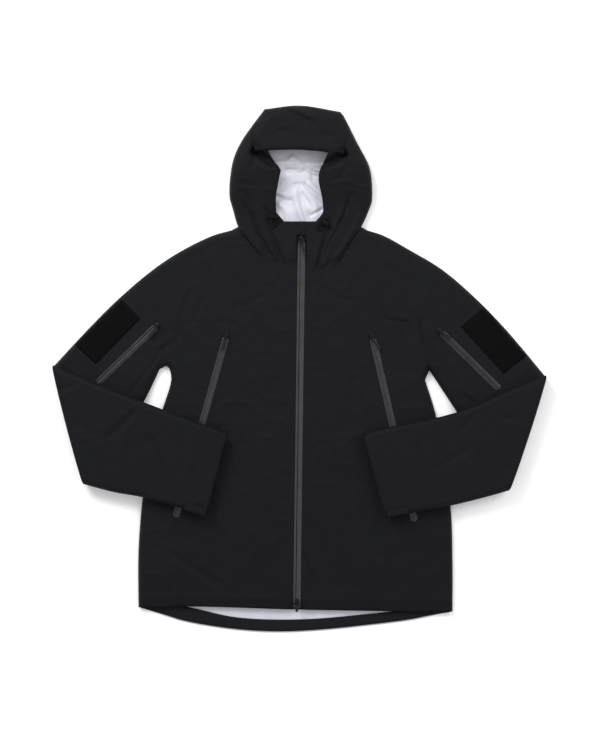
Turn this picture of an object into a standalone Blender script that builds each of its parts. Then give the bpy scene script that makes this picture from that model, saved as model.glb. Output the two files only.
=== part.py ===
"""A hooded hardshell jacket lying face up, its forearms folded over the front.

Every sewn panel is a plain closed solid of its true outline, and the zips, pulls, patches, cord locks and
cuff tabs are separate pieces. Lengths are in millimetres. +X is the wearer's left, +Y points to the hood,
+Z is up and z = 0 is the floor that the back panel lies on.
"""

import math

import bmesh
import bpy
from mathutils import Matrix, Vector

MM = 0.001

# Driving heights: one ply of laminate, the clearance between neighbours, and the level of each layer.
PLY = 1.5
CLEAR = 0.3
BODY_TOP = 14.5
COLLAR_TOP = 17.5
FOREARM = (22.5, 36.5)
HOOD_TOP = 35.5
LINING = 11.2  # the underside of the pocket bags and of the storm flap, behind the front
WALL_FOOT = PLY + CLEAR
WALL_STEP = 0.2  # how far a wall stands inside its plies' edge, which keeps the union free of coplanar faces

# Heights of the fold lines that the forearms and the hood turn about.
ELBOW_FOLD = 19.5
HOOD_FOLD = 44.0

# Driving widths.
ZIP_HALF = 7.0
ELBOW_CLEAR = 1.2
GUSSET = 26.0

# The front zip runs almost straight down the middle.
ZIP_TOP = (4.0, 250.0)
ZIP_END = (-5.0, -453.0)

# Outline points shared by neighbouring panels, the wearer's right (x < 0) and left.
RAGLAN = {
    "right": [(-128, 264), (-221, 107), (-252, 7)],
    "left": [(128, 264), (221, 107), (246, -1)],
}
SHOULDER = {
    "right": [(-128, 264), (-164, 254), (-227, 223), (-278, 189), (-345, 132), (-402, 75), (-466, 7)],
    "left": [(128, 264), (159, 254), (208, 227), (271, 189), (337, 132), (392, 75), (466, -12)],
}
ELBOW = {"right": [(-466, 7), (-408, -216)], "left": [(466, -12), (396, -228)]}
UNDERARM = {
    "right": [(-252, 7), (-297, -64), (-408, -216)],
    "left": [(246, -1), (297, -79), (396, -228)],
}
FOREARM_TOP = {
    "right": [(-466, 7), (-379, -28), (-297, -60), (-218, -90), (-142, -118), (-136, -123)],
    "left": [(466, -12), (385, -43), (295, -81), (191, -105), (128, -120), (120, -128)],
}
FOREARM_LOW = {
    "right": [(-176, -276), (-237, -257), (-297, -240), (-349, -231), (-408, -216)],
    "left": [(162, -278), (206, -271), (286, -256), (340, -243), (396, -228)],
}
SIDE = {
    "right": [(-252, 7), (-243, -20), (-260, -77), (-283, -150), (-297, -242), (-305, -343), (-305, -451)],
    "left": [(246, -1), (238, -20), (259, -90), (272, -170), (286, -257), (290, -362), (290, -459)],
}
YOKE_SEAM = {
    "right": [(-226, 91), (-164, 94), (-100, 81), (0, 72)],
    "left": [(225, 91), (164, 97), (100, 83), (0, 72)],
}
FRONT_HEM = {"right": [(-210, -449)], "left": [(176, -458)]}
BACK_HEM = [(-305, -451), (-193, -484), (-29, -499), (183, -480), (290, -459)]
HEM_BAND_TOP = [(-208, -452), (-109, -472), (20, -474), (172, -460)]
NECK = {"right": [(-116, 270), (-128, 311)], "left": [(117, 270), (135, 311)]}
NECKLINE = {
    "right": [(-98, 244), (-60, 212)],
    "left": [(98, 244), (66, 205)],
}
COLLAR_DRAPE = {
    "right": [(-100, 246), (-60, 202), (-27, 182)],
    "left": [(102, 250), (67, 197), (28, 170)],
}
HOOD_LINE = 312.0
HOOD_SIDE = {
    "right": [(-128, 313), (-132, 328), (-126, 392), (-110, 430), (-66, 492)],
    "left": [(136, 313), (137, 320), (133, 379), (109, 428), (83, 480)],
}
HOOD_CROWN_SEAM = {"right": [(-66, 492), (-76, 461), (-80, 434)], "left": [(83, 480), (83, 465), (84, 434)]}
FACE_EDGE = {
    "right": [(-59, 434), (-59, 413), (-35, 375), (-44, 328), (-44, 313)],
    "left": [(54, 434), (54, 410), (36, 366), (43, 322), (43, 313)],
}
CROWN = [(-66, 492), (0, 499), (77, 487)]
BRIM = [(-86, 414), (0, 416), (85, 408)]
BRIM_ROOT = 433.0

SIDES = {"right": -1, "left": 1}

# Zips on the front and on the upper arms: the slider's start and the tape's lower end.
POCKET_ZIP = {"right": ((-138, 63), (-234, -280)), "left": ((138, 61), (218, -288))}
SLEEVE_ZIP = {"right": ((-269, 83), (-384, -28)), "left": ((266, 72), (379, -38))}
PULL_TURN = {"pocket": {"right": 0.0, "left": 22.0}, "sleeve": {"right": 17.0, "left": 12.0}}

PATCH = {
    "right": [(-338, 134), (-301, 96), (-385, 10), (-426, 47)],
    "left": [(349, 118), (305, 81), (386, -8), (430, 26)],
}
CUFF_TAB = {
    "right": [(-219, -263.5), (-177, -276), (-173, -262), (-215, -249)],
    "left": [(163, -278), (206, -271), (206, -259), (164, -263)],
}
CORD_LOCK = {"right": ((-47, 289, 23.2), 175.0), "left": ((47, 279, 23.2), -38.0)}
LOOP_SIDE = {"right": 1, "left": -1}
# The drawcord's loop beyond its lock: distance along the lock, distance from its axis, height.
DRAWCORD = [
    (-3.2, 5.7, 21.5),
    (-4.6, 10.0, 20.4),
    (-5.0, 14.6, 19.4),
    (-3.2, 18.2, 19.1),
    (0.2, 19.6, 19.1),
    (3.6, 18.2, 19.1),
    (5.2, 14.6, 19.4),
    (4.7, 10.0, 20.4),
    (3.2, 5.7, 21.5),
]
CORD = 2.5

MATERIALS = {
    "shell_fabric": ((0.012, 0.012, 0.014, 1), 0.75, 0.0),
    "inner_face": ((0.68, 0.67, 0.72, 1), 0.6, 0.0),
    "pocket_mesh": ((0.03, 0.03, 0.034, 1), 0.85, 0.0),
    "zip_tape": ((0.07, 0.07, 0.072, 1), 0.45, 0.0),
    "zip_metal": ((0.05, 0.05, 0.052, 1), 0.35, 0.9),
    "pull_rubber": ((0.02, 0.02, 0.022, 1), 0.55, 0.0),
    "loop_pile": ((0.006, 0.006, 0.006, 1), 0.95, 0.0),
    "cord_lock": ((0.01, 0.01, 0.011, 1), 0.2, 0.0),
    "drawcord": ((0.015, 0.015, 0.016, 1), 0.7, 0.0),
}


# ---------------------------------------------------------------- outlines


def signed_area(outline):
    pairs = zip(outline, outline[1:] + outline[:1])
    return sum(a[0] * b[1] - b[0] * a[1] for a, b in pairs) / 2


def turned_left(outline):
    """The outline, running counter-clockwise, so that its inside is on the left."""
    return outline if signed_area(outline) > 0 else outline[::-1]


def offset(points, distance, closed=False):
    """The path moved to its left by distance, with mitred corners."""
    moved = []
    last = len(points) - 1
    for index, point in enumerate(points):
        here = Vector(point)
        before = Vector(points[index - 1]) if index or closed else None
        after = Vector(points[(index + 1) % len(points)]) if index < last or closed else None
        runs = [(here - before).normalized()] if before else []
        runs += [(after - here).normalized()] if after else []
        normals = [Vector((-run.y, run.x)) for run in runs]
        middle = sum(normals, Vector((0, 0))).normalized()
        moved.append(tuple(here + middle * distance / max(0.2, middle.dot(normals[0]))))
    return moved


def inset(outline, distance):
    return offset(turned_left(outline), distance, closed=True)


def smooth(points, steps=4):
    """Points along a Catmull-Rom curve through the given ones, steps to each span."""
    points = [Vector(point) for point in points]
    ends = [points[0] * 2 - points[1], *points, points[-1] * 2 - points[-2]]
    curve = []
    for a, b, c, d in zip(ends, ends[1:], ends[2:], ends[3:]):
        for step in range(steps):
            t = step / steps
            square, cube = (a * 2 - b * 5 + c * 4 - d) * t**2, (b * 3 - a - c * 3 + d) * t**3
            curve.append(tuple((b * 2 + (c - a) * t + square + cube) / 2))
    return [*curve, tuple(points[-1])]


def zip_x(y, aside=0.0):
    """The front zip's centre line at height y, moved aside."""
    share = (ZIP_TOP[1] - y) / (ZIP_TOP[1] - ZIP_END[1])
    return ZIP_TOP[0] + (ZIP_END[0] - ZIP_TOP[0]) * share + aside


def strip(points, near, far, drawn_in=9.0):
    """The band between two offsets of a path, its ends drawn in."""
    first, second, before, last = (Vector(points[i]) for i in (0, 1, -2, -1))
    first = first + (second - first).normalized() * drawn_in
    last = last + (before - last).normalized() * drawn_in
    path = [tuple(first), *points[1:-1], tuple(last)]
    return offset(path, near) + offset(path, far)[::-1]


def along(start, end, width, before=0.0, after=0.0):
    """A rectangle round the line from start to end, lengthened before and after it."""
    start, end = Vector(start), Vector(end)
    run = (end - start).normalized()
    side = Vector((-run.y, run.x)) * width / 2
    first, last = start - run * before, end + run * after
    return [tuple(p) for p in (first - side, last - side, last + side, first + side)]


# ---------------------------------------------------------------- solids


def material(slot):
    found = bpy.data.materials.get(slot)
    if found:
        return found
    colour, roughness, metallic = MATERIALS[slot]
    found = bpy.data.materials.new(slot)
    found.use_nodes = True
    shader = found.node_tree.nodes["Principled BSDF"]
    shader.inputs["Base Color"].default_value = colour
    shader.inputs["Roughness"].default_value = roughness
    shader.inputs["Metallic"].default_value = metallic
    return found


def add_object(name, mesh_data, slot, origin=(0, 0, 0)):
    """A mesh object with its origin at the given point, from a bmesh in millimetres of the world."""
    bmesh.ops.recalc_face_normals(mesh_data, faces=mesh_data.faces)
    bmesh.ops.translate(mesh_data, vec=-Vector(origin), verts=mesh_data.verts)
    bmesh.ops.scale(mesh_data, vec=(MM, MM, MM), verts=mesh_data.verts)
    mesh = bpy.data.meshes.new(name)
    mesh_data.to_mesh(mesh)
    mesh_data.free()
    mesh.materials.append(material(slot))
    piece = bpy.data.objects.new(name, mesh)
    piece.location = Vector(origin) * MM
    bpy.context.scene.collection.objects.link(piece)
    return piece


def add_prism(mesh_data, outline, low, high):
    verts = [mesh_data.verts.new((x, y, low)) for x, y in outline]
    face = mesh_data.faces.new(verts)
    grown = bmesh.ops.extrude_face_region(mesh_data, geom=[face])
    top = [item for item in grown["geom"] if isinstance(item, bmesh.types.BMVert)]
    bmesh.ops.translate(mesh_data, vec=(0, 0, high - low), verts=top)


def plate(name, outline, low, high, slot="shell_fabric", origin=(0, 0, 0), clear=CLEAR):
    mesh_data = bmesh.new()
    add_prism(mesh_data, inset(outline, clear), low, high)
    return add_object(name, mesh_data, slot, origin)


def helper(name, outline, low, high):
    """A solid that only a Boolean uses."""
    mesh_data = bmesh.new()
    add_prism(mesh_data, outline, low, high)
    piece = add_object(name, mesh_data, "shell_fabric")
    piece.hide_render = True
    piece.display_type = "WIRE"
    return piece


def union(piece, other):
    modifier = piece.modifiers.new("join " + other.name, "BOOLEAN")
    modifier.operation = "UNION"
    modifier.solver = "EXACT"
    modifier.object = other


def cut(piece, other):
    modifier = piece.modifiers.new("cut " + other.name, "BOOLEAN")
    modifier.operation = "DIFFERENCE"
    modifier.solver = "EXACT"
    modifier.object = other


def sewn_shell(name, outline, plies, walls, slot="shell_fabric", origin=(0, 0, 0)):
    """Plies of one outline, joined by walls that stand inside some of its edges.

    plies holds the height of each ply's underside, top ply first. With one ply the walls reach down to the
    back of the jacket. Each wall is a path along the outline.
    """
    top = plies[0]
    shell = plate(name, outline, top, top + PLY, slot, origin)
    foot = plies[1] + PLY / 2 if len(plies) > 1 else WALL_FOOT
    rim = turned_left(outline)
    near = CLEAR + WALL_STEP
    for number, path in enumerate(walls):
        path = path if runs_with(path, rim) else path[::-1]
        band = turned_left(strip(path, near, near + PLY))
        union(shell, helper(f"wall_{number}_of_{name}", band, foot, top + PLY / 2))
    for low in plies[1:]:
        union(shell, helper(f"lower_ply_of_{name}", inset(outline, CLEAR), low, low + PLY))
    return shell


def runs_with(path, rim):
    """Whether a path along the rim runs the rim's way."""
    nearest = []
    for point in path[:2]:
        distances = [math.dist(corner, point) for corner in rim]
        nearest.append(distances.index(min(distances)))
    return (nearest[1] - nearest[0]) % len(rim) <= len(rim) / 2


def soften(piece, width, segments=2):
    modifier = piece.modifiers.new("rounded edges", "BEVEL")
    modifier.width = width * MM
    modifier.segments = segments
    modifier.limit_method = "ANGLE"
    piece.data.shade_smooth()
    piece.data.set_sharp_from_angle(angle=math.radians(40))


def turned_piece(name, profile, centre, heading, slot, origin, segments=20):
    """A solid of revolution: profile is (distance along the axis, radius), heading its degrees in plan."""
    mesh_data = bmesh.new()
    verts = [mesh_data.verts.new((along_axis, 0, radius)) for along_axis, radius in profile]
    edges = [mesh_data.edges.new(pair) for pair in zip(verts, verts[1:])]
    bmesh.ops.spin(
        mesh_data,
        geom=verts + edges,
        cent=(0, 0, 0),
        axis=(1, 0, 0),
        angle=math.tau,
        steps=segments,
        use_merge=True,
    )
    bmesh.ops.remove_doubles(mesh_data, verts=mesh_data.verts, dist=0.01)
    turn = Matrix.Rotation(math.radians(heading), 3, "Z")
    bmesh.ops.rotate(mesh_data, cent=(0, 0, 0), matrix=turn, verts=mesh_data.verts)
    bmesh.ops.translate(mesh_data, vec=centre, verts=mesh_data.verts)
    piece = add_object(name, mesh_data, slot, origin)
    piece.data.shade_smooth()
    piece.data.set_sharp_from_angle(angle=math.radians(40))
    return piece


# ---------------------------------------------------------------- body panels


def add_back():
    hem = smooth(BACK_HEM)
    outline = [
        *RAGLAN["right"],
        *SIDE["right"][1:-1],
        *hem,
        *SIDE["left"][::-1][1:-1],
        *RAGLAN["left"][::-1],
        NECK["left"][0],
        NECK["right"][0],
    ]
    plate("back_panel", outline, 0, PLY)
    band = offset(hem, 2.0)[1:-1] + smooth(HEM_BAND_TOP)[::-1]
    plate("back_hem_facing", band, WALL_FOOT, WALL_FOOT + 1.0)
    plate("collar_back_stand", [*NECK["right"][::-1], *NECK["left"]], 0, PLY)


def add_front(side):
    sign = SIDES[side]
    zip_edge = [(zip_x(y, sign * 1.0), y) for y in (-455.0, 72.0)]
    seam = YOKE_SEAM[side][:-1]
    low = BODY_TOP - PLY
    outline = [seam[0], *SIDE[side], *FRONT_HEM[side], *zip_edge, *seam[::-1][:-1]]
    sewn_shell(f"{side}_front_panel", outline, [low], [SIDE[side]])
    neckline = NECKLINE[side]
    top = [(zip_x(72, sign), 72), (zip_x(196, sign), 196)]
    yoke = [*RAGLAN[side][:2], *seam, *top, *neckline[::-1], NECK[side][0]]
    plate(f"{side}_yoke_panel", yoke, low, BODY_TOP)


def gusset_seam(side):
    """The seam between the sleeve and its underarm gusset, from the raglan seam to the elbow."""
    seam = offset(UNDERARM[side], SIDES[side] * GUSSET)
    shoulder, armpit = (Vector(point) for point in RAGLAN[side][1:])
    high, low = (Vector(point) for point in ELBOW[side])
    return [tuple(armpit.lerp(shoulder, 0.52)), *seam[1:-1], tuple(low.lerp(high, 0.13))]


def elbow_trimmed(outline, side):
    """The outline with its points on the elbow's fold line drawn back to clear the hinge."""
    high, low = (Vector(point) for point in ELBOW[side])
    across = (low - high).normalized()
    inward = Vector((-across.y, across.x)) * -SIDES[side]
    trimmed = []
    for point in outline:
        here = Vector(point)
        on_line = abs((here - high).dot(inward)) < 0.5
        trimmed.append(tuple(here + inward * ELBOW_CLEAR) if on_line else point)
    return trimmed


def add_sleeve(side):
    seam = gusset_seam(side)
    plies = [BODY_TOP - PLY, 0]
    upper = elbow_trimmed([*SHOULDER[side], *seam[::-1], RAGLAN[side][1]], side)
    shoulder_wall = [upper[i] for i in range(1, len(SHOULDER[side]))]
    sewn_shell(f"{side}_upper_sleeve", upper, plies, [shoulder_wall])
    gusset = elbow_trimmed([*seam, *UNDERARM[side][::-1]], side)
    underarm_wall = gusset[len(seam):]
    sewn_shell(f"{side}_underarm_gusset", gusset, plies, [underarm_wall])
    forearm = elbow_trimmed([*FOREARM_TOP[side], *FOREARM_LOW[side]], side)
    count = len(FOREARM_TOP[side])
    walls = [forearm[: count - 1], forearm[count:]]
    origin = (*ELBOW[side][0], ELBOW_FOLD)
    sewn_shell(f"{side}_forearm_sleeve", forearm, [FOREARM[1] - PLY, FOREARM[0]], walls, origin=origin)
    tab_low = FOREARM[1] + CLEAR
    hinge = (*CUFF_TAB[side][0], tab_low - 0.1)
    soften(plate(f"{side}_cuff_tab", CUFF_TAB[side], tab_low, tab_low + 1.2, origin=hinge), 0.4)


def add_patch(side):
    low = BODY_TOP + CLEAR
    plate(f"{side}_arm_patch", PATCH[side], low, low + PLY, "loop_pile")


# ---------------------------------------------------------------- collar and hood


def add_collar(side):
    sign = SIDES[side]
    low = COLLAR_TOP - PLY
    beside_zip = ZIP_HALF + 0.6
    inner = [
        (zip_x(182, sign * beside_zip), 182),
        (zip_x(253, sign * beside_zip), 253),
        (sign * 21 + 2, 253),
        (sign * 21 + 2, 280),
        (sign * 30 + 1, 280),
        (sign * 44, 297),
        (sign * 44, 311),
    ]
    outline = [*NECK[side][::-1], *COLLAR_DRAPE[side], *inner]
    sewn_shell(f"{side}_collar_panel", outline, [low], [NECK[side][::-1]])


def add_chin_guard():
    low = COLLAR_TOP - PLY
    outline = [(-18.4, 254), (22.4, 254), (22.4, 280), (-18.4, 280)]
    soften(plate("chin_guard", outline, low, COLLAR_TOP), 0.5)


def add_hanger_loop():
    """A flat tape whose ends are sewn down and whose middle stands up for a hook."""
    loop = plate("hanger_loop", [(-32, 258), (32, 258), (32, 264), (-32, 264)], 1.8, 8.0, clear=0)
    gap = helper("hanger_loop_gap", [(-26, 250), (26, 250), (26, 272), (-26, 272)], -1.0, 7.0)
    cut(loop, gap)


def add_hood():
    outline = [*HOOD_SIDE["right"], CROWN[1], CROWN[2], *HOOD_SIDE["left"][::-1]]
    hood_hinge = (0, HOOD_LINE, HOOD_FOLD)
    plate("hood_back_panel", outline, 0, PLY, "inner_face", hood_hinge)
    low = HOOD_TOP - PLY
    for side in SIDES:
        panel = [*HOOD_SIDE[side], *HOOD_CROWN_SEAM[side][1:], *FACE_EDGE[side]]
        sewn_shell(f"hood_{side}_side_panel", panel, [low], [HOOD_SIDE[side]], origin=hood_hinge)
    crown = [*HOOD_CROWN_SEAM["right"][::-1], CROWN[1], CROWN[2], *HOOD_CROWN_SEAM["left"]]
    top_edge = [HOOD_CROWN_SEAM["right"][0], *CROWN[1:]]
    sewn_shell("hood_crown_panel", crown, [low], [top_edge], origin=hood_hinge)
    brim = [*BRIM, (84, BRIM_ROOT), (-80, BRIM_ROOT)]
    brim_low = HOOD_TOP + 0.9
    brim_hinge = (0, BRIM_ROOT + 1, brim_low + 1.9)
    soften(plate("hood_brim", brim, brim_low, brim_low + PLY, origin=brim_hinge), 0.5)


def add_cord_lock(side):
    centre, heading = CORD_LOCK[side]
    body = [
        (-6.5, 0),
        (-6.5, 4.2),
        (-5.5, 5.2),
        (6.0, 5.2),
        (6.8, 4.7),
        (6.8, 4.2),
        (-1.0, 4.2),
        (-1.0, 0),
    ]
    turned_piece(f"{side}_cord_lock_body", body, centre, heading, "cord_lock", centre)
    button = [(3.2, 0), (3.2, 3.8), (9.4, 3.8), (10.2, 3.0), (10.2, 0)]
    turned_piece(f"{side}_cord_lock_button", button, centre, heading, "cord_lock", centre)


def add_drawcord(side):
    curve = bpy.data.curves.new(f"{side}_hood_drawcord", "CURVE")
    curve.dimensions = "3D"
    curve.bevel_depth = CORD / 2 * MM
    curve.bevel_resolution = 2
    curve.use_fill_caps = True
    curve.materials.append(material("drawcord"))
    centre, heading = CORD_LOCK[side]
    flat = [(ahead, LOOP_SIDE[side] * aside) for ahead, aside, _ in DRAWCORD]
    flat = local_outline(flat, centre[:2], heading)
    route = smooth([(*place, height) for place, (*_, height) in zip(flat, DRAWCORD)], steps=2)
    spline = curve.splines.new("POLY")
    spline.points.add(len(route) - 1)
    for point, place in zip(spline.points, route):
        point.co = (*(Vector(place) * MM), 1)
    bpy.context.scene.collection.objects.link(bpy.data.objects.new(f"{side}_hood_drawcord", curve))


# ---------------------------------------------------------------- zips


def local_outline(points, start, heading):
    """Points of (along the heading, to its left) turned into plan positions."""
    turn = math.radians(heading)
    ahead = Vector((math.cos(turn), math.sin(turn)))
    left = Vector((-ahead.y, ahead.x))
    return [tuple(Vector(start) + ahead * a + left * b) for a, b in points]


def heading_of(start, end):
    return math.degrees(math.atan2(end[1] - start[1], end[0] - start[0]))


def add_slider(name, place, heading, low, height):
    """A zip slider: a tapered body with a low bridge that holds the pull."""
    one_side = [(-6.5, 2.6), (-1, 4.2), (4.5, 4.4), (6.5, 3.2)]
    outline = [(ahead, -aside) for ahead, aside in one_side] + one_side[::-1]
    outline = local_outline(outline, place, heading)
    body = plate(name, outline, low, low + height, "zip_metal", (*place, low), 0)
    bridge = local_outline([(-4.6, -1.3), (0.4, -1.3), (0.4, 1.3), (-4.6, 1.3)], place, heading)
    union(body, helper(f"bridge_of_{name}", bridge, low + 0.5, low + height + 1.6))
    soften(body, 0.5)


def add_pull(name, place, heading, turn, low, length):
    """A pull tab that lies down the zip from its pin near the slider's nose."""
    pin = local_outline([(3.0, 0)], place, heading)[0]
    tip = [(length - 2.6 + 2.6 * math.cos(a), 2.6 * math.sin(a)) for a in (-1.2, -0.6, 0, 0.6, 1.2)]
    outline = [(-0.8, -1.5), (5, -1.5), (8, -2.6), *tip, (8, 2.6), (5, 1.5), (-0.8, 1.5)]
    pull = plate(
        name,
        local_outline(outline, pin, heading + turn),
        low,
        low + 1.6,
        "pull_rubber",
        (*pin, low + 0.8),
        0,
    )
    soften(pull, 0.35)


def add_front_zip():
    low = BODY_TOP + CLEAR
    for side, sign in SIDES.items():
        inner, outer = sign * 0.25, sign * ZIP_HALF
        ends = (ZIP_END[1], ZIP_TOP[1])
        outline = [(zip_x(y, inner), y) for y in ends] + [(zip_x(y, outer), y) for y in ends[::-1]]
        plate(f"front_zip_{side}_tape", outline, low, low + 0.8, "zip_tape", clear=0)
    down = heading_of(ZIP_TOP, ZIP_END)
    top, bottom = (zip_x(244), 244.0), (zip_x(-440), -440.0)
    add_slider("front_zip_top_slider", top, down, low + 1.1, 3.6)
    add_pull("front_zip_top_pull", top, down, 16.0, low + 5.1, 26.0)
    add_slider("front_zip_bottom_slider", bottom, down, low + 1.1, 3.6)
    add_pull("front_zip_bottom_pull", bottom, down, 0.0, low + 5.1, 15.0)
    flap = [(zip_x(y, aside), y) for y, aside in ((-445, -26), (-445, 12), (236, 12), (236, -26))]
    plate("zip_storm_flap", flap, LINING, LINING + 1.2)


def add_side_zip(name, ends, turn, length):
    low = BODY_TOP + CLEAR
    start, end = ends
    tape = along(start, end, 2 * ZIP_HALF - 1, before=8)
    plate(f"{name}_zip_tape", tape, low, low + 0.8, "zip_tape", clear=0)
    down = heading_of(start, end)
    add_slider(f"{name}_slider", start, down, low + 1.1, 3.0)
    add_pull(f"{name}_pull", start, down, turn, low + 4.6, length)


def add_pocket_bag(side):
    sign = SIDES[side]
    outline = [(sign * 95, 62), (sign * 195, 80), (sign * 262, -290), (sign * 95, -290)]
    plate(f"{side}_pocket_bag", outline, LINING, LINING + 1.0, "pocket_mesh")


# ---------------------------------------------------------------- the jacket

for leftover in list(bpy.data.objects):
    bpy.data.objects.remove(leftover)

add_back()
add_chin_guard()
add_hanger_loop()
add_hood()
add_front_zip()
for side in SIDES:
    add_front(side)
    add_sleeve(side)
    add_patch(side)
    add_collar(side)
    add_cord_lock(side)
    add_drawcord(side)
    add_side_zip(f"{side}_pocket", POCKET_ZIP[side], PULL_TURN["pocket"][side], 25.0)
    add_side_zip(f"{side}_arm_pocket", SLEEVE_ZIP[side], PULL_TURN["sleeve"][side], 22.0)
    add_pocket_bag(side)
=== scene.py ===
"""A hooded hardshell jacket laid face up with its forearms folded over the front.

Each garment panel is a fine mesh that fills the outline of its CAD panels. Its height is worked out from the
nearest closed edge, with folds and a cloth simulation on top. Working lengths are in millimetres.
"""

import math
import random

import bmesh
import bpy
import numpy as np
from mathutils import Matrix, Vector
from mathutils.bvhtree import BVHTree
from mathutils.geometry import delaunay_2d_cdt


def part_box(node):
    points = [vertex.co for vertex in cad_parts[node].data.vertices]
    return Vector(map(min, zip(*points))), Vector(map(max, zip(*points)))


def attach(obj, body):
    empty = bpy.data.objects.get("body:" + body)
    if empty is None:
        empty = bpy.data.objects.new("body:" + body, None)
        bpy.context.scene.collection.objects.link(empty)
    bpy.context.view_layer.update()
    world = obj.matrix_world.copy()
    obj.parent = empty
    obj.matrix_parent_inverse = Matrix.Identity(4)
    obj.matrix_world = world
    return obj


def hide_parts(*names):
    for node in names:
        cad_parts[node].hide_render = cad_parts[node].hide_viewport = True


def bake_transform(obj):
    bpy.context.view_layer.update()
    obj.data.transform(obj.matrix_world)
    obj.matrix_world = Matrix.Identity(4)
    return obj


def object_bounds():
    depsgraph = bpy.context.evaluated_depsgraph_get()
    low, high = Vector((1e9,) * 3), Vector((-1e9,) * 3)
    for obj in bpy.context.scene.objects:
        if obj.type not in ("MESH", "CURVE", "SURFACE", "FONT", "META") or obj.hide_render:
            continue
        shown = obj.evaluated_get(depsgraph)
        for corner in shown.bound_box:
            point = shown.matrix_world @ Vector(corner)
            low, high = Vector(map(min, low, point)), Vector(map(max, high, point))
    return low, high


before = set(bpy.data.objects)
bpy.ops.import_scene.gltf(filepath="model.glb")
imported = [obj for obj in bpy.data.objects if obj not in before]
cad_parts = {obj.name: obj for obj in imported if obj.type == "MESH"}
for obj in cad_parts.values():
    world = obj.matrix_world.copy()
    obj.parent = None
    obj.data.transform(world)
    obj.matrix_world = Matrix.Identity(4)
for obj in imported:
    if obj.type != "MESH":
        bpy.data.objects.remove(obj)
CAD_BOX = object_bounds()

MM = 0.001
SIDES = {"right": -1, "left": 1}

# Heights of the cloth, under the tops of the CAD layers.
BODY_TOP = 14.2
BODY_FOOT = 0.7
BODY_EDGE = 5.5
COLLAR_TOP = 17.2
HOOD_TOP = 35.2
HOOD_EDGE = 13.0
ARM_TOP = 36.2
ARM_FOOT = 22.9
ARM_EDGE = 29.5

CAD_GAP = 0.3  # how far every CAD outline stands inside the true seam line
CLOTH = 0.55  # thickness of the laminate
TORSO_LIMIT = 16.2  # the torso's cloth is pressed under this height, and cloth above it belongs to the forearms
CUFF_SHADE_DEPTH = 45.0  # depth of the painted shade inside a cuff: dark shell cloth in place of the pale lining
BRIM_REACH = 4.0  # how far the visor stands out past its stiff core
SWELL = 0.012  # how much longer than its pattern the simulated cloth is
SETTLE_FRAMES = 16  # how long the simulated cloth settles
EASE_STEPS = 6  # points that a rounded corner adds to each span of an outline
WELD_GAP = 0.05  # points closer than this are one
SEAM_BAND = (290, 345)  # along the jacket, where the plies' meeting height rises from the body's to the hood's
VIEW_DISTANCE = 3.0  # metres
VIEW_HEIGHT = 1.425
VIEW_OFFSET = Vector((0.001, -0.0105))  # of the camera from the middle of the object's box, in metres


# ---------------------------------------------------------------- camera and light


def new_object(name, data):
    made = bpy.data.objects.new(name, data)
    bpy.context.scene.collection.objects.link(made)
    return made


def add_camera():
    low, high = CAD_BOX
    camera = new_object("camera", bpy.data.cameras.new("camera"))
    camera.data.sensor_fit = "VERTICAL"
    camera.data.sensor_height = 36
    camera.data.lens = camera.data.sensor_height * VIEW_DISTANCE / VIEW_HEIGHT
    middle = (low + high) / 2
    camera.location = (middle.x + VIEW_OFFSET.x, middle.y + VIEW_OFFSET.y, VIEW_DISTANCE)
    bpy.context.scene.camera = camera


def add_area_light(name, place, size, power):
    """A square light that faces the origin."""
    light = bpy.data.lights.new(name, "AREA")
    light.size = size
    light.energy = power
    lamp = new_object(name, light)
    lamp.location = place
    lamp.rotation_euler = (-Vector(place)).to_track_quat("-Z", "Y").to_euler()


def add_studio():
    world = bpy.data.worlds.new("studio")
    world.use_nodes = True
    background = world.node_tree.nodes["Background"]
    background.inputs["Color"].default_value = (1, 1, 1, 1)
    background.inputs["Strength"].default_value = 0.8
    bpy.context.scene.world = world
    bpy.context.scene.view_settings.view_transform = "Standard"
    add_area_light("key", (-1.5, 2.0, 1.9), 1.3, 72)
    add_area_light("fill", (1.9, 1.2, 1.9), 1.5, 30)
    data = bmesh.new()
    bmesh.ops.create_grid(data, x_segments=1, y_segments=1, size=14)
    mesh = bpy.data.meshes.new("floor")
    data.to_mesh(mesh)
    data.free()
    floor = new_object("floor", mesh)
    floor.location.z = -0.0005
    material, _ = new_material("studio_floor", (0.96, 0.96, 0.96, 1), 0.8)
    floor.data.materials.append(material)


# ---------------------------------------------------------------- materials


def new_material(name, colour, roughness, metallic=0.0, **extra):
    material = bpy.data.materials.new(name)
    material.use_nodes = True
    shader = material.node_tree.nodes["Principled BSDF"]
    shader.inputs["Base Color"].default_value = colour
    shader.inputs["Roughness"].default_value = roughness
    shader.inputs["Metallic"].default_value = metallic
    for socket, value in extra.items():
        shader.inputs[socket.replace("_", " ")].default_value = value
    return material, shader


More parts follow.
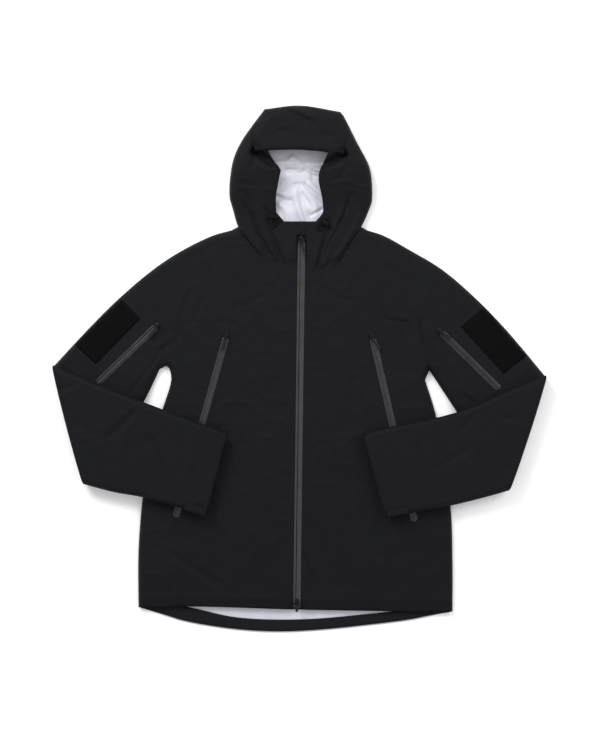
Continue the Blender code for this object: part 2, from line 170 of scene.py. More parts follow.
class Nodes:
    """A new material, with short ways to add and join its shader nodes."""

    def __init__(self, name, colour, roughness, metallic=0.0, **extra):
        self.material, self.shader = new_material(name, colour, roughness, metallic, **extra)
        self.tree = self.material.node_tree
        self.position = self.add("ShaderNodeTexCoord").outputs["Object"]

    def add(self, kind, **settings):
        node = self.tree.nodes.new(kind)
        for key, value in settings.items():
            socket = key.replace("_", " ")
            if socket in node.inputs:
                node.inputs[socket].default_value = value
            else:
                setattr(node, key, value)
        return node

    def join(self, output, node, socket):
        self.tree.links.new(output, node.inputs[socket])

    def noise(self, scale, detail=2.0, roughness=0.5):
        node = self.add("ShaderNodeTexNoise", Scale=scale, Detail=detail, Roughness=roughness)
        self.join(self.position, node, "Vector")
        return node.outputs["Fac"]

    def crossed(self, scale, turns, distortion):
        """Two sets of parallel waves, turned in plan and multiplied, like crossed threads."""
        return self.maths("MULTIPLY", *(self.wave(scale, turn, distortion) for turn in turns))

    def wave(self, scale, turn, distortion=0.0):
        mapping = self.add("ShaderNodeMapping", Rotation=(0, 0, turn))
        self.join(self.position, mapping, "Vector")
        node = self.add("ShaderNodeTexWave", bands_direction="X", Scale=scale, Distortion=distortion)
        self.join(mapping.outputs["Vector"], node, "Vector")
        return node.outputs["Fac"]

    def maths(self, operation, first, second):
        node = self.add("ShaderNodeMath", operation=operation)
        for socket, value in enumerate((first, second)):
            if isinstance(value, (int, float)):
                node.inputs[socket].default_value = value
            else:
                self.join(value, node, socket)
        return node.outputs[0]

    def colour(self, source, low, high):
        """Colours the shader by a ramp from low = (position, colour) to high."""
        node = self.add("ShaderNodeValToRGB")
        for element, (place, colour) in zip(node.color_ramp.elements, (low, high)):
            element.position = place
            element.color = colour
        self.join(source, node, "Fac")
        self.join(node.outputs["Color"], self.shader, "Base Color")

    def roughen(self, source, low, high):
        """Varies the shader's roughness between low and high."""
        node = self.add("ShaderNodeMapRange", To_Min=low, To_Max=high)
        self.join(source, node, "Value")
        self.join(node.outputs["Result"], self.shader, "Roughness")

    def bump(self, *heights):
        """Chains (height, strength, distance) bumps into the shader's normal. Returns the finished material."""
        normal = None
        for height, strength, distance in heights:
            node = self.add("ShaderNodeBump", Strength=strength, Distance=distance)
            self.join(height, node, "Height")
            if normal:
                self.join(normal, node, "Normal")
            normal = node.outputs["Normal"]
        self.join(normal, self.shader, "Normal")
        return self.material


def grey(value, blue=1.0):
    red = 0.94 if blue > 1.2 else 1.0
    return (value * red, value, value * blue, 1)


def woven_cloth(name, dark, light, roughness, thread, sheen):
    """Plain-woven cloth: crossed threads, a soft mottle and a faint sheen."""
    nodes = Nodes(
        name, grey(light, 1.4), roughness,
        Sheen_Weight=sheen, Sheen_Roughness=0.5, Specular_IOR_Level=0.12,
    )
    weave = nodes.crossed(thread, (math.radians(3), math.radians(93)), 0.6)
    mottle = nodes.noise(9.0, 4.0, 0.6)
    fleck = nodes.noise(420)
    mixed = nodes.maths("ADD", nodes.maths("MULTIPLY", mottle, 0.7), nodes.maths("MULTIPLY", fleck, 0.3))
    nodes.colour(mixed, (0.3, grey(dark, 1.4)), (0.72, grey(light, 1.4)))
    nodes.roughen(mottle, roughness - 0.06, roughness + 0.08)
    return nodes.bump((weave, 0.35, 0.0003), (nodes.noise(38, 3.0, 0.55), 0.16, 0.004))


def lining_cloth(name, dark, light):
    """The pale backing of the laminate: a fine tricot knit with a silky gloss."""
    nodes = Nodes(name, grey(light, 1.1), 0.5, Sheen_Weight=0.15)
    knit = nodes.crossed(260, (0.4, -0.4), 1.2)
    nodes.colour(nodes.noise(24, 3.0), (0.3, grey(dark, 1.12)), (0.7, grey(light, 1.1)))
    return nodes.bump((knit, 0.25, 0.0002), (nodes.noise(60), 0.1, 0.002))


def zip_laminate(name, value):
    """The satin film over a water-resistant zip, with the coil's ribs pressing through."""
    nodes = Nodes(name, grey(value, 1.03), 0.34, Specular_IOR_Level=0.3)
    ribs = nodes.wave(210, math.radians(90))
    nodes.colour(nodes.noise(45, 3.0), (0.3, grey(value - 0.005, 1.03)), (0.7, grey(value + 0.005, 1.03)))
    return nodes.bump((ribs, 0.2, 0.0003), (nodes.noise(500), 0.1, 0.0002))


def lacquered_metal(name):
    nodes = Nodes(name, grey(0.012), 0.32, 0.6, Specular_IOR_Level=0.2)
    scuffs = nodes.noise(900, 3.0, 0.6)
    nodes.colour(scuffs, (0.45, grey(0.006)), (0.8, grey(0.03)))
    return nodes.bump((scuffs, 0.08, 0.0002))


def moulded_rubber(name):
    nodes = Nodes(name, grey(0.006), 0.42, Specular_IOR_Level=0.2)
    grain = nodes.noise(2200)
    nodes.colour(grain, (0.3, grey(0.006 * 0.8)), (0.75, grey(0.006 * 1.5)))
    return nodes.bump((grain, 0.25, 0.0002))


def polished_plastic(name):
    nodes = Nodes(name, grey(0.002), 0.14, Specular_IOR_Level=0.16)
    haze = nodes.noise(300, 3.0)
    nodes.roughen(haze, 0.1, 0.26)
    return nodes.bump((haze, 0.04, 0.0002))


def loop_pile(name):
    """Hook-and-loop's soft side: a deep, matte nap of tiny loops."""
    nodes = Nodes(name, grey(0.003), 0.95, Specular_IOR_Level=0.03)
    loops = nodes.noise(1100, 3.0, 0.7)
    clumps = nodes.noise(160, 3.0)
    nodes.colour(loops, (0.35, grey(0.0018)), (0.75, grey(0.0068)))
    return nodes.bump((loops, 0.9, 0.0006), (clumps, 0.4, 0.0012))


def braided_cord(name):
    nodes = Nodes(name, grey(0.005), 0.6, Specular_IOR_Level=0.12)
    braid = nodes.crossed(420, (0.9, -0.9), 0.4)
    nodes.colour(braid, (0.2, grey(0.002)), (0.8, grey(0.007)))
    return nodes.bump((braid, 0.6, 0.0004))


SHELL = woven_cloth("shell_fabric", 0.0036, 0.0053, 0.72, 300, 0.0)
FACING = woven_cloth("hem_facing_fabric", 0.0044, 0.0064, 0.7, 340, 0.0)
LINING = lining_cloth("inner_laminate", 0.48, 0.57)
# A darker copy of the lining: painted shade where the hood's lining lies under the brim.
LINING_PAINTED_SHADE = lining_cloth("inner_laminate_painted_shade", 0.37, 0.44)
SEAM_TAPE = lining_cloth("seam_tape", 0.3, 0.37)
# One zip film in three brightnesses. Each value stands for the light that zip's glossy film reflects, so the
# darker pocket and arm copies are painted shade.
ZIP_FILM = zip_laminate("zip_laminate", 0.031)
POCKET_FILM_PAINTED_SHADE = zip_laminate("pocket_zip_laminate_painted_shade", 0.022)
ARM_FILM_PAINTED_SHADE = zip_laminate("arm_zip_laminate_painted_shade", 0.014)
METAL = lacquered_metal("slider_metal")
RUBBER = moulded_rubber("pull_rubber")
GLOSS = polished_plastic("cord_lock_plastic")
PILE = loop_pile("loop_pile")
CORD = braided_cord("drawcord_braid")
THREAD = woven_cloth("sewing_thread", 0.004, 0.008, 0.5, 900, 0.02)
MESH_CLOTH = woven_cloth("pocket_mesh", 0.012, 0.03, 0.8, 160, 0.1)


# ---------------------------------------------------------------- outlines, in plan


def cad_outline(node):
    """The outline of a node's top face, counter-clockwise in millimetres."""
    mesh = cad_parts[node].data
    points = np.array([v.co for v in mesh.vertices]) / MM
    level = points[:, 2].max()
    edges = set()
    for polygon in mesh.polygons:
        corners = [tuple(np.round(points[i], 2) + 0.0) for i in polygon.vertices]
        if all(abs(corner[2] - level) < 0.05 for corner in corners):
            edges |= {(a[:2], b[:2]) for a, b in zip(corners, corners[1:] + corners[:1])}
    return chained({a: b for a, b in edges if (b, a) not in edges})


def chained(following):
    outline = [min(following)]
    while following[outline[-1]] != outline[0]:
        outline.append(following[outline[-1]])
    return without_straight_points(outline)


def turn_at(before, here, after):
    first, second = Vector(here) - Vector(before), Vector(after) - Vector(here)
    return math.degrees(abs(first.angle_signed(second, 0)))


def without_straight_points(outline):
    around = zip(outline[-1:] + outline[:-1], outline, outline[1:] + outline[:1])
    return [here for before, here, after in around if turn_at(before, here, after) > 0.4]


def grown(outline, distance):
    """A closed counter-clockwise outline moved outward, with mitred corners."""
    moved = []
    for before, here, after in zip(outline[-1:] + outline[:-1], outline, outline[1:] + outline[:1]):
        here = Vector(here)
        runs = ((here - Vector(before)).normalized(), (Vector(after) - here).normalized())
        normals = [Vector((run.y, -run.x)) for run in runs]
        middle = (normals[0] + normals[1]).normalized()
        moved.append(tuple(here + middle * distance / max(0.2, middle.dot(normals[0]))))
    return moved


def box(node):
    """The low and high corners of a node's box, in millimetres."""
    return [Vector(corner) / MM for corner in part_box(node)]


def looped(outline):
    """A closed outline as a path that comes back to its start."""
    return [*outline, outline[0]]


def seam_outline(node, gap=CAD_GAP):
    """A panel's outline at its seam line, rounded so that neighbours share their corners."""
    return [(round(x, 1), round(y, 1)) for x, y in grown(cad_outline(node), gap)]


def nearest_index(outline, point):
    distances = [math.dist(corner, point) for corner in outline]
    return distances.index(min(distances))


def joined(*outlines, reach=1.6):
    """One outline round neighbours that share seams: shared corners are matched within reach."""
    corners = []
    rounds = []
    for outline in outlines:
        ring = []
        for point in outline:
            match = next((c for c in corners if math.dist(c, point) < reach), None)
            if match is None:
                corners.append(point)
                match = point
            ring.append(match)
        rounds.append(ring)
    edges = {edge for ring in rounds for edge in zip(ring, ring[1:] + ring[:1])}
    return chained({a: b for a, b in edges if (b, a) not in edges})


def length_of(path):
    return sum(math.dist(a, b) for a, b in zip(path, path[1:]))


def edge_of(outline, start, end):
    """The shorter part of a closed outline between its corners nearest to two points, from start to end."""
    first, last = nearest_index(outline, start), nearest_index(outline, end)
    count = len(outline)
    onward = [outline[i % count] for i in range(first, last + 1 if last > first else last + count + 1)]
    back = [outline[i % count] for i in range(last, first + 1 if first > last else first + count + 1)][::-1]
    return min(onward, back, key=length_of)


def corner_towards(outline, direction):
    return max(outline, key=lambda corner: corner[0] * direction[0] + corner[1] * direction[1])


def shared_corners(first, second):
    """The corners that two outlines have in common, lowest first."""
    found = [a for a in first if any(math.dist(a, b) < 0.6 for b in second)]
    return sorted(found, key=lambda corner: corner[1])


def eased(points, closed=False, soft=38.0, fixed=()):
    """The path with its gentle corners rounded by a Catmull-Rom curve, and its sharp or fixed ones kept."""
    count = len(points)
    result = []

    def is_kept(before, here, after):
        return turn_at(before, here, after) > soft or any(math.dist(here, p) < 1.0 for p in fixed)

    for i in range(count if closed else count - 1):
        b, c = Vector(points[i]), Vector(points[(i + 1) % count])
        a = Vector(points[i - 1]) if closed or i else b * 2 - c
        d = Vector(points[(i + 2) % count]) if closed or i + 2 < count else c * 2 - b
        a, d = (b * 2 - c if is_kept(a, b, c) else a), (c * 2 - b if is_kept(b, c, d) else d)
        size = [max((p - q).length, 1e-6) ** 0.5 for p, q in ((a, b), (b, c), (c, d))]
        result += [tuple(centripetal(a, b, c, d, size, step / EASE_STEPS)) for step in range(EASE_STEPS)]
    if not closed:
        result.append(tuple(points[-1]))
    return result


def centripetal(a, b, c, d, size, t):
    """A point of the span from b to c, with tangents scaled by the knot spacing size."""
    first = ((b - a) / size[0] - (c - a) / (size[0] + size[1]) + (c - b) / size[1]) * size[1]
    last = ((c - b) / size[1] - (d - b) / (size[1] + size[2]) + (d - c) / size[2]) * size[1]
    t2, t3 = t * t, t * t * t
    return b * (2 * t3 - 3 * t2 + 1) + first * (t3 - 2 * t2 + t) + c * (3 * t2 - 2 * t3) + last * (t3 - t2)


def resampled(points, spacing, closed=False):
    """Points at an even spacing along each straight or curved run, keeping every corner."""
    ring = looped(points) if closed else points
    result = []
    for a, b in zip(ring, ring[1:]):
        pieces = max(1, round(math.dist(a, b) / spacing))
        result += [tuple(Vector(a).lerp(Vector(b), i / pieces)) for i in range(pieces)]
    return result if closed else [*result, tuple(ring[-1])]


def even(path, spacing):
    """The path at even steps, with its ends kept: (place, direction, distance gone) for each."""
    total = length_of(path)
    count = max(2, round(total / spacing))
    result, gone, index = [], 0.0, 0
    for step in range(count + 1):
        target = total * step / count
        while index < len(path) - 2 and gone + math.dist(path[index], path[index + 1]) < target:
            gone += math.dist(path[index], path[index + 1])
            index += 1
        a, b = Vector(path[index]), Vector(path[index + 1])
        run = (b - a).normalized()
        result.append((a + run * (target - gone), run, target))
    return result


def trimmed(path, start, end):
    """The path without its first and last stretches."""
    total = length_of(path)
    return [tuple(place) for place, _, gone in even(path, 3.0) if start <= gone <= total - end]


def beside_path(path, distance):
    """An open path moved to its left."""
    moved = []
    for index, here in enumerate(path):
        before, after = path[max(index - 1, 0)], path[min(index + 1, len(path) - 1)]
        run = (Vector(after) - Vector(before)).normalized()
        moved.append((here[0] - run.y * distance, here[1] + run.x * distance))
    return moved


# ---------------------------------------------------------------- distances and folds, with numpy


def distance_to(places, paths):
    """Each place's distance to the nearest of several paths."""
    best = np.full(len(places), 1e9)
    for path in paths:
        for a, b in zip(path, path[1:]):
            a, b = np.array(a), np.array(b)
            run = b - a
            share = np.clip(((places - a) @ run) / max(run @ run, 1e-9), 0, 1)
            best = np.minimum(best, np.hypot(*(places - a - share[:, None] * run).T))
    return best


def beside(places, path):
    """Signed distance to a path, positive on its left, and the share of the way along it."""
    lengths = [math.dist(a, b) for a, b in zip(path, path[1:])]
    total, gone = sum(lengths), 0.0
    best, signed, way = np.full(len(places), 1e9), np.zeros(len(places)), np.zeros(len(places))
    for a, b, length in zip(path, path[1:], lengths):
        a, b = np.array(a), np.array(b)
        run = (b - a) / length
        offset = places - a
        ahead = np.clip(offset @ run, 0, length)
        gap = offset - ahead[:, None] * run
        distance = np.hypot(*gap.T)
        left = run[0] * offset[:, 1] - run[1] * offset[:, 0]
        nearer = distance < best
        best = np.where(nearer, distance, best)
        signed = np.where(nearer, np.where(left < 0, -distance, distance), signed)
        way = np.where(nearer, (gone + ahead) / total, way)
        gone += length
    return signed, way


def smoothstep(value, low, high):
    t = np.clip((value - low) / (high - low), 0, 1)
    return t * t * (3 - 2 * t)


def rounded_edge(distance, radius):
    """Rises from 0 at the edge to 1 at radius along a quarter circle."""
    return np.sqrt(1 - (1 - np.clip(distance / radius, 0, 1)) ** 2)


def fold(places, path, height, left, right, ends):
    """A ridge along a path: left and right are its reach on each side, ends the shares that it fades over."""
    signed, way = beside(places, eased(path))
    reach = np.where(signed > 0, left, right)
    profile = np.exp(-((signed / reach) ** 2) * 2.2)
    fade = smoothstep(way, 0, ends) * smoothstep(1 - way, 0, ends)
    return height * profile * fade


def rumple(places, size, seed):
    """Smooth pseudo-random waves of about the given size, between -1 and 1."""
    source = random.Random(seed)
    total = np.zeros(len(places))
    for _ in range(7):
        heading = source.uniform(0, math.pi)
        length = size * source.uniform(0.7, 1.6)
        phase = source.uniform(0, math.tau)
        bend = source.uniform(0.2, 0.5)
        ahead = places @ np.array((math.cos(heading), math.sin(heading)))
        aside = places @ np.array((-math.sin(heading), math.cos(heading)))
        total += np.sin(ahead * math.tau / length + phase + bend * np.sin(aside * math.tau / length / 1.7))
    return total / 4


# ---------------------------------------------------------------- meshes


def filled(outline, spacing):
    """Plan points and triangles that fill an outline."""
    rim = resampled(outline, spacing, closed=True)
    low, high = np.min(rim, axis=0), np.max(rim, axis=0)
    rise = spacing * math.sqrt(3) / 2
    rows = int((high[1] - low[1]) / rise) + 1
    columns = int((high[0] - low[0]) / spacing) + 2
    inner = []
    for row in range(rows):
        shift = spacing / 2 if row % 2 else 0
        inner += [(low[0] + column * spacing + shift, low[1] + row * rise) for column in range(columns)]
    inner = np.array(inner)
    inner = inner[inside(inner, rim)]
    inner = inner[distance_to(inner, [looped(rim)]) > spacing * 0.62]
    points = [Vector(p) for p in rim] + [Vector(p) for p in inner]
    edges = [(i, (i + 1) % len(rim)) for i in range(len(rim))]
    verts, _, faces, *_ = delaunay_2d_cdt(points, edges, [], 1, 1e-4)
    return np.array([tuple(v) for v in verts]), [tuple(face) for face in faces]


def inside(places, ring):
    """Whether each place is inside a closed ring."""
    crossings = np.zeros(len(places), int)
    for (ax, ay), (bx, by) in zip(ring, ring[1:] + ring[:1]):
        if ay == by:
            continue
        spans = (places[:, 1] >= min(ay, by)) & (places[:, 1] < max(ay, by))
        at = ax + (places[:, 1] - ay) * (bx - ax) / (by - ay)
        crossings += spans & (at > places[:, 0])
    return crossings % 2 == 1


def add_mesh(name, points, faces, material, inner=None):
    """An object from points in millimetres. inner is the material of the far side once it has thickness."""
    mesh = bpy.data.meshes.new(name)
    mesh.from_pydata([tuple(float(c) * MM for c in point) for point in points], [], faces)
    mesh.materials.append(material)
    mesh.materials.append(inner or material)
    mesh.validate()
    mesh.shade_smooth()
    return new_object(name, mesh)


def applied(piece):
    """Bakes the piece's modifiers into its mesh."""
    bpy.context.view_layer.update()
    graph = bpy.context.evaluated_depsgraph_get()
    mesh = bpy.data.meshes.new_from_object(piece.evaluated_get(graph))
    old = piece.data
    piece.modifiers.clear()
    piece.data = mesh
    bpy.data.meshes.remove(old)
    mesh.name = piece.name
    mesh.shade_smooth()
    return piece


def thickened(piece, thickness=CLOTH, inner=True, rim=0):
    """Gives a sheet its thickness, below its outer face. rim is the material slot of its cut edge."""
    modifier = piece.modifiers.new("thickness", "SOLIDIFY")
    modifier.thickness = thickness * MM
    modifier.offset = -1.0
    modifier.material_offset = 1 if inner else 0
    modifier.material_offset_rim = rim
    return applied(piece)


def faced_outward(piece):
    data = bmesh.new()
    data.from_mesh(piece.data)
    bmesh.ops.recalc_face_normals(data, faces=data.faces)
    data.to_mesh(piece.data)
    data.free()
    return piece


def welded(piece):
    data = bmesh.new()
    data.from_mesh(piece.data)
    bmesh.ops.remove_doubles(data, verts=data.verts, dist=WELD_GAP * MM)
    bmesh.ops.delete(data, geom=[e for e in data.edges if not e.link_faces], context="EDGES")
    data.to_mesh(piece.data)
    data.free()
    piece.data.shade_smooth()
    return piece


# ---------------------------------------------------------------- the seam lines that the cloth follows


def snapped(outline, others, reach=0.9):
    """The outline with its corners moved onto its neighbours' near ones, so that seams match exactly."""
    corners = [corner for other in others for corner in other]
    return [next((c for c in corners if math.dist(c, point) < reach), point) for point in outline]


CHIN_LOW, CHIN_HIGH = box("chin_guard")
CHIN_MIDDLE = round((CHIN_LOW.x + CHIN_HIGH.x) / 2, 1)


def with_chin(outline):
    """A collar outline carried on to the middle, over the chin guard."""
    sides = (CHIN_LOW.x - 3, CHIN_HIGH.x + 3)
    top, foot = round(CHIN_HIGH.y + CAD_GAP, 1), CHIN_LOW.y - 1
    moved = []
    for x, y in outline:
        if CHIN_LOW.y - 4 < y < CHIN_HIGH.y + 4 and min(abs(x - edge) for edge in sides) < 3.6:
            x, y = CHIN_MIDDLE, top if y > 270 else foot
        moved.append((x, y))
    return moved


def under_collar(outline):
    """A front's outline with its neckline carried in under the collar."""
    moved = []
    for x, y in outline:
        if 200 < y < 262 and 45 < abs(x) < 112:  # a corner of the neckline
            x, y = x * 0.84, y + 16
        elif 190 < y < 200 and abs(x) < 12:  # a corner at the zip's top
            y = CHIN_LOW.y + 8
        moved.append((x, y))
    return moved


# Where the sleeve's and the body's sides of the opening leave its round top, from the armpit.
ARMPIT_ROUND = {"right": ((-13.0, -6.0), (6.5, -6.0))}


def with_round_armpit(outline, side, armpit):
    """The outline with one more corner beside the armpit, where the opening under the sleeve is round."""
    if side not in ARMPIT_ROUND:
        return outline
    index = nearest_index(outline, armpit)
    before, after = outline[index - 1], outline[(index + 1) % len(outline)]
    is_after_lower = after[1] < before[1]
    lower = after if is_after_lower else before
    is_sleeve = abs(lower[0]) > abs(armpit[0]) + 20
    step = ARMPIT_ROUND[side][0 if is_sleeve else 1]
    corner = (armpit[0] + step[0], armpit[1] + step[1])
    place = index + 1 if is_after_lower else index
    return outline[:place] + [corner] + outline[place:]


FRONT, UPPER, FOREARM, COLLAR, DRAPE = {}, {}, {}, {}, {}
ARMPIT, NECK_POINT, ELBOW, HEM_CORNER, CUFF = {}, {}, {}, {}, {}
for side, sign in SIDES.items():
    FRONT[side] = joined(seam_outline(f"{side}_front_panel"), seam_outline(f"{side}_yoke_panel"))
    UPPER[side] = joined(seam_outline(f"{side}_upper_sleeve"), seam_outline(f"{side}_underarm_gusset"))
    UPPER[side] = snapped(UPPER[side], [FRONT[side]])
    FOREARM[side] = seam_outline(f"{side}_forearm_sleeve")
    FRONT[side] = under_collar(FRONT[side])
    COLLAR[side] = with_chin(seam_outline(f"{side}_collar_panel"))
    DRAPE[side] = joined(COLLAR[side], seam_outline(f"hood_{side}_side_panel"), reach=2.6)
    body_seam = shared_corners(FRONT[side], UPPER[side])
    ARMPIT[side], NECK_POINT[side] = body_seam[0], body_seam[-1]
    FRONT[side] = with_round_armpit(FRONT[side], side, ARMPIT[side])
    UPPER[side] = with_round_armpit(UPPER[side], side, ARMPIT[side])
    ELBOW[side] = shared_corners(UPPER[side], FOREARM[side])[::-1]
    HEM_CORNER[side] = corner_towards(FRONT[side], (sign, -1))
    CUFF[side] = [corner_towards(FOREARM[side], way) for way in ((-sign, 0.35), (-0.6 * sign, -1))]
CROWN = snapped(seam_outline("hood_crown_panel"), DRAPE.values())
BACK_NODES = ("back_panel", "collar_back_stand", "hood_back_panel")
BACK = joined(*(seam_outline(node) for node in BACK_NODES), reach=2.6)
for side in SIDES:
    BACK = with_round_armpit(BACK, side, ARMPIT[side])
FIXED = shared_corners(DRAPE["right"], DRAPE["left"])  # corners that stay sharp
for side in SIDES:
    FIXED += [ARMPIT[side], NECK_POINT[side], HEM_CORNER[side], *ELBOW[side], *CUFF[side]]
    FIXED += shared_corners(FRONT[side], UPPER[side]) + shared_corners(DRAPE[side], CROWN)


def cloth_ring(outline):
    """A whole outline as the cloth follows it, with its gentle corners rounded."""
    return eased(outline, closed=True, fixed=FIXED)


def cloth_edge(outline, start, end):
    return edge_of(cloth_ring(outline), start, end)


def middle_line(node):
    """The line down the middle of a long thin node, from its upper end to its lower one."""
    outline = cad_outline(node)
    pairs = sorted(zip(outline, outline[1:] + outline[:1]), key=lambda pair: math.dist(*pair))[:2]
    ends = [((a[0] + b[0]) / 2, (a[1] + b[1]) / 2) for a, b in pairs]
    return sorted(ends, key=lambda end: -end[1])


BODY_EDGES, HOOD_EDGES = [], []
ARM_EDGES, HEMS, POCKET_LINE, ARM_LINE, GUSSET_SEAM = {}, {}, {}, {}, {}
for side, sign in SIDES.items():
    BODY_EDGES.append(cloth_edge(FRONT[side], HEM_CORNER[side], ARMPIT[side]))
    BODY_EDGES.append(cloth_edge(UPPER[side], NECK_POINT[side], ELBOW[side][0]))
    BODY_EDGES.append(cloth_edge(UPPER[side], ARMPIT[side], ELBOW[side][1]))
    ARM_EDGES[side] = [cloth_edge(FOREARM[side], ELBOW[side][i], CUFF[side][i]) for i in (0, 1)]
    HEMS[side] = cloth_edge(FRONT[side], HEM_CORNER[side], corner_towards(FRONT[side], (-0.1 * sign, -1)))
    neck_corner = shared_corners(FRONT[side], COLLAR[side])[-1]
    BODY_EDGES.append(cloth_edge(FRONT[side], neck_corner, NECK_POINT[side]))
    crown_corner = corner_towards(CROWN, (sign, 2))
    HOOD_EDGES.append(cloth_edge(DRAPE[side], neck_corner, crown_corner))
    gusset, sleeve = seam_outline(f"{side}_underarm_gusset"), seam_outline(f"{side}_upper_sleeve")
    seam = [point for point in gusset if any(math.dist(point, other) < 1.4 for other in sleeve)]
    GUSSET_SEAM[side] = trimmed(eased(sorted(seam, key=lambda point: -point[1])), 2, 8)
    POCKET_LINE[side] = middle_line(f"{side}_pocket_zip_tape")
    ARM_LINE[side] = middle_line(f"{side}_arm_pocket_zip_tape")
HOOD_EDGES.append(cloth_edge(CROWN, *(shared_corners(CROWN, DRAPE[side])[-1] for side in SIDES)))
ZIP_FOOT, ZIP_TOP = box("front_zip_right_tape")[0], box("front_zip_left_tape")[1]
FRONT_LINE = [(ZIP_TOP.x - 7, ZIP_TOP.y), (ZIP_FOOT.x + 7, ZIP_FOOT.y)]
ZIP_LINES = [*POCKET_LINE.values(), *ARM_LINE.values()]

# ---------------------------------------------------------------- folds

# Each fold is its path, height, reach on its left and right, and the share of it that fades at each end.

BODY_FOLDS = [
    ([(-36, -282), (-16, -316), (2, -345), (19, -384), (32, -426)], -1.7, 8, 8, 0.2),
    ([(-300, -390), (-283, -394), (-281, -440)], -1.2, 8, 10, 0.3),
    ([(-243, -380), (-237, -402), (-252, -442)], -1.7, 7, 6, 0.2),
    ([(-262, -330), (-225, -362), (-190, -384), (-130, -420)], -1.5, 12, 10, 0.3),
    ([(262, -394), (274, -410), (291, -433)], -1.6, 6, 6, 0.2),
    ([(143, 104), (185, 91), (208, 88)], -1.5, 5, 7, 0.25),
    ([(197, 90), (194, 52), (198, 26)], -1.2, 5, 7, 0.25),
    ([(206, 113), (218, 96), (229, 74)], -2.0, 6, 5, 0.2),
    ([(240, 108), (234, 92), (229, 74), (236, 38)], -1.8, 6, 6, 0.2),
    ([(-170, 92), (-140, 91), (-113, 86)], -1.3, 5, 7, 0.25),
    ([(-168, 92), (-172, 66), (-168, 44)], -0.9, 5, 7, 0.25),
    ([(-196, 160), (-216, 124), (-226, 88), (-229, 44)], -2.4, 6, 8, 0.2),
    ([(-176, 142), (-190, 120), (-200, 98)], -1.7, 6, 6, 0.25),
    ([(-236, 56), (-256, 40), (-272, 32)], -2.2, 7, 9, 0.2),
    ([(-300, 92), (-286, 64), (-268, 44)], -1.1, 8, 8, 0.3),
    ([(303, 60), (290, 30), (286, 6)], -1.2, 8, 9, 0.3),
    ([(303, -42), (322, -56), (340, -70)], -1.8, 5, 7, 0.25),
    ([(-258, -8), (-286, -40), (-312, -74)], -1.6, 9, 7, 0.25),
    ([(262, -24), (290, -66), (306, -92)], -1.3, 8, 8, 0.25),
    ([(-60, 150), (-92, 128), (-130, 118)], -1.0, 12, 10, 0.25),
    ([(40, 160), (70, 138), (120, 124)], -1.0, 10, 12, 0.25),
    ([(-90, -60), (-74, -150), (-88, -250)], -0.9, 24, 22, 0.3),
    ([(92, -60), (70, -160), (92, -270)], -0.9, 22, 24, 0.3),
    ([(-140, 205), (-190, 176), (-240, 150)], -0.9, 16, 18, 0.3),
    ([(140, 205), (196, 176), (246, 146)], -1.0, 18, 16, 0.3),
    ([(-250, -310), (-190, -330), (-120, -330)], -0.9, 20, 18, 0.3),
    ([(240, -330), (180, -352), (110, -350)], -0.9, 18, 20, 0.3),
]
DRAPE_FOLDS = [
    ([(-124, 306), (-108, 266), (-88, 236), (-60, 204)], 4.6, 7, 9, 0.12),
    ([(-88, 318), (-72, 280), (-60, 242), (-36, 196)], 3.6, 6, 7, 0.15),
    ([(-42, 262), (-36, 234), (-22, 192)], 1.8, 4, 5, 0.25),
    ([(-109, 322), (-91, 290), (-75, 249), (-40, 187)], -5.0, 4.5, 4.5, 0.12),
    ([(-71, 316), (-56, 284), (-50, 250), (-27, 187)], -4.0, 4, 4.5, 0.12),
    ([(120, 300), (97, 256), (80, 226), (62, 200)], 4.6, 9, 7, 0.12),
    ([(86, 312), (66, 262), (50, 216), (37, 184)], 3.6, 7, 6, 0.15),
    ([(42, 262), (35, 232), (26, 184)], 1.8, 5, 4, 0.25),
    ([(97, 322), (73, 272), (52, 226), (42, 200)], -5.0, 4.5, 4.5, 0.12),
    ([(57, 292), (47, 244), (38, 210), (28, 174)], -4.4, 4.5, 4, 0.12),
    ([(-116, 346), (-100, 326), (-92, 300)], -2.4, 6, 8, 0.25),
    ([(58, 357), (76, 360), (88, 378)], -2.2, 5, 6, 0.25),
    ([(106, 336), (93, 322), (84, 304)], -2.2, 6, 6, 0.25),
    ([(-128, 352), (-100, 350), (-66, 340)], -1.4, 9, 9, 0.3),
    ([(-92, 417), (-68, 401), (-42, 386)], -17.0, 12, 13, 0.1),
    ([(90, 412), (68, 396), (40, 384)], -16.0, 12, 11, 0.1),
    ([(-72, 414), (-56, 400), (-42, 380)], 3.0, 4, 4, 0.2),
    ([(-82, 474), (-88, 440), (-86, 404), (-92, 372)], -4.6, 8, 4, 0.15),
    ([(84, 474), (90, 440), (87, 402), (94, 368)], -4.6, 4, 8, 0.15),
    ([(-3, 276), (-5, 252)], -1.1, 3, 3, 0.2),
    ([(-26, 272), (-38, 249)], -1.3, 3, 4, 0.2),
    ([(-1, 254), (14, 260), (17, 272)], -1.8, 4, 4, 0.2),
    ([(24, 272), (30, 256)], -1.2, 3, 3, 0.2),
    ([(-42, 496), (-5, 487), (34, 466)], 3.2, 13, 4, 0.15),
    ([(-30, 488), (-4, 479), (22, 464)], -2.2, 4, 9, 0.2),
    ([(-52, 446), (-30, 450), (-12, 448), (-16, 436)], -2.0, 5, 6, 0.2),
    ([(40, 448), (48, 441), (74, 443)], -1.6, 5, 6, 0.2),
]
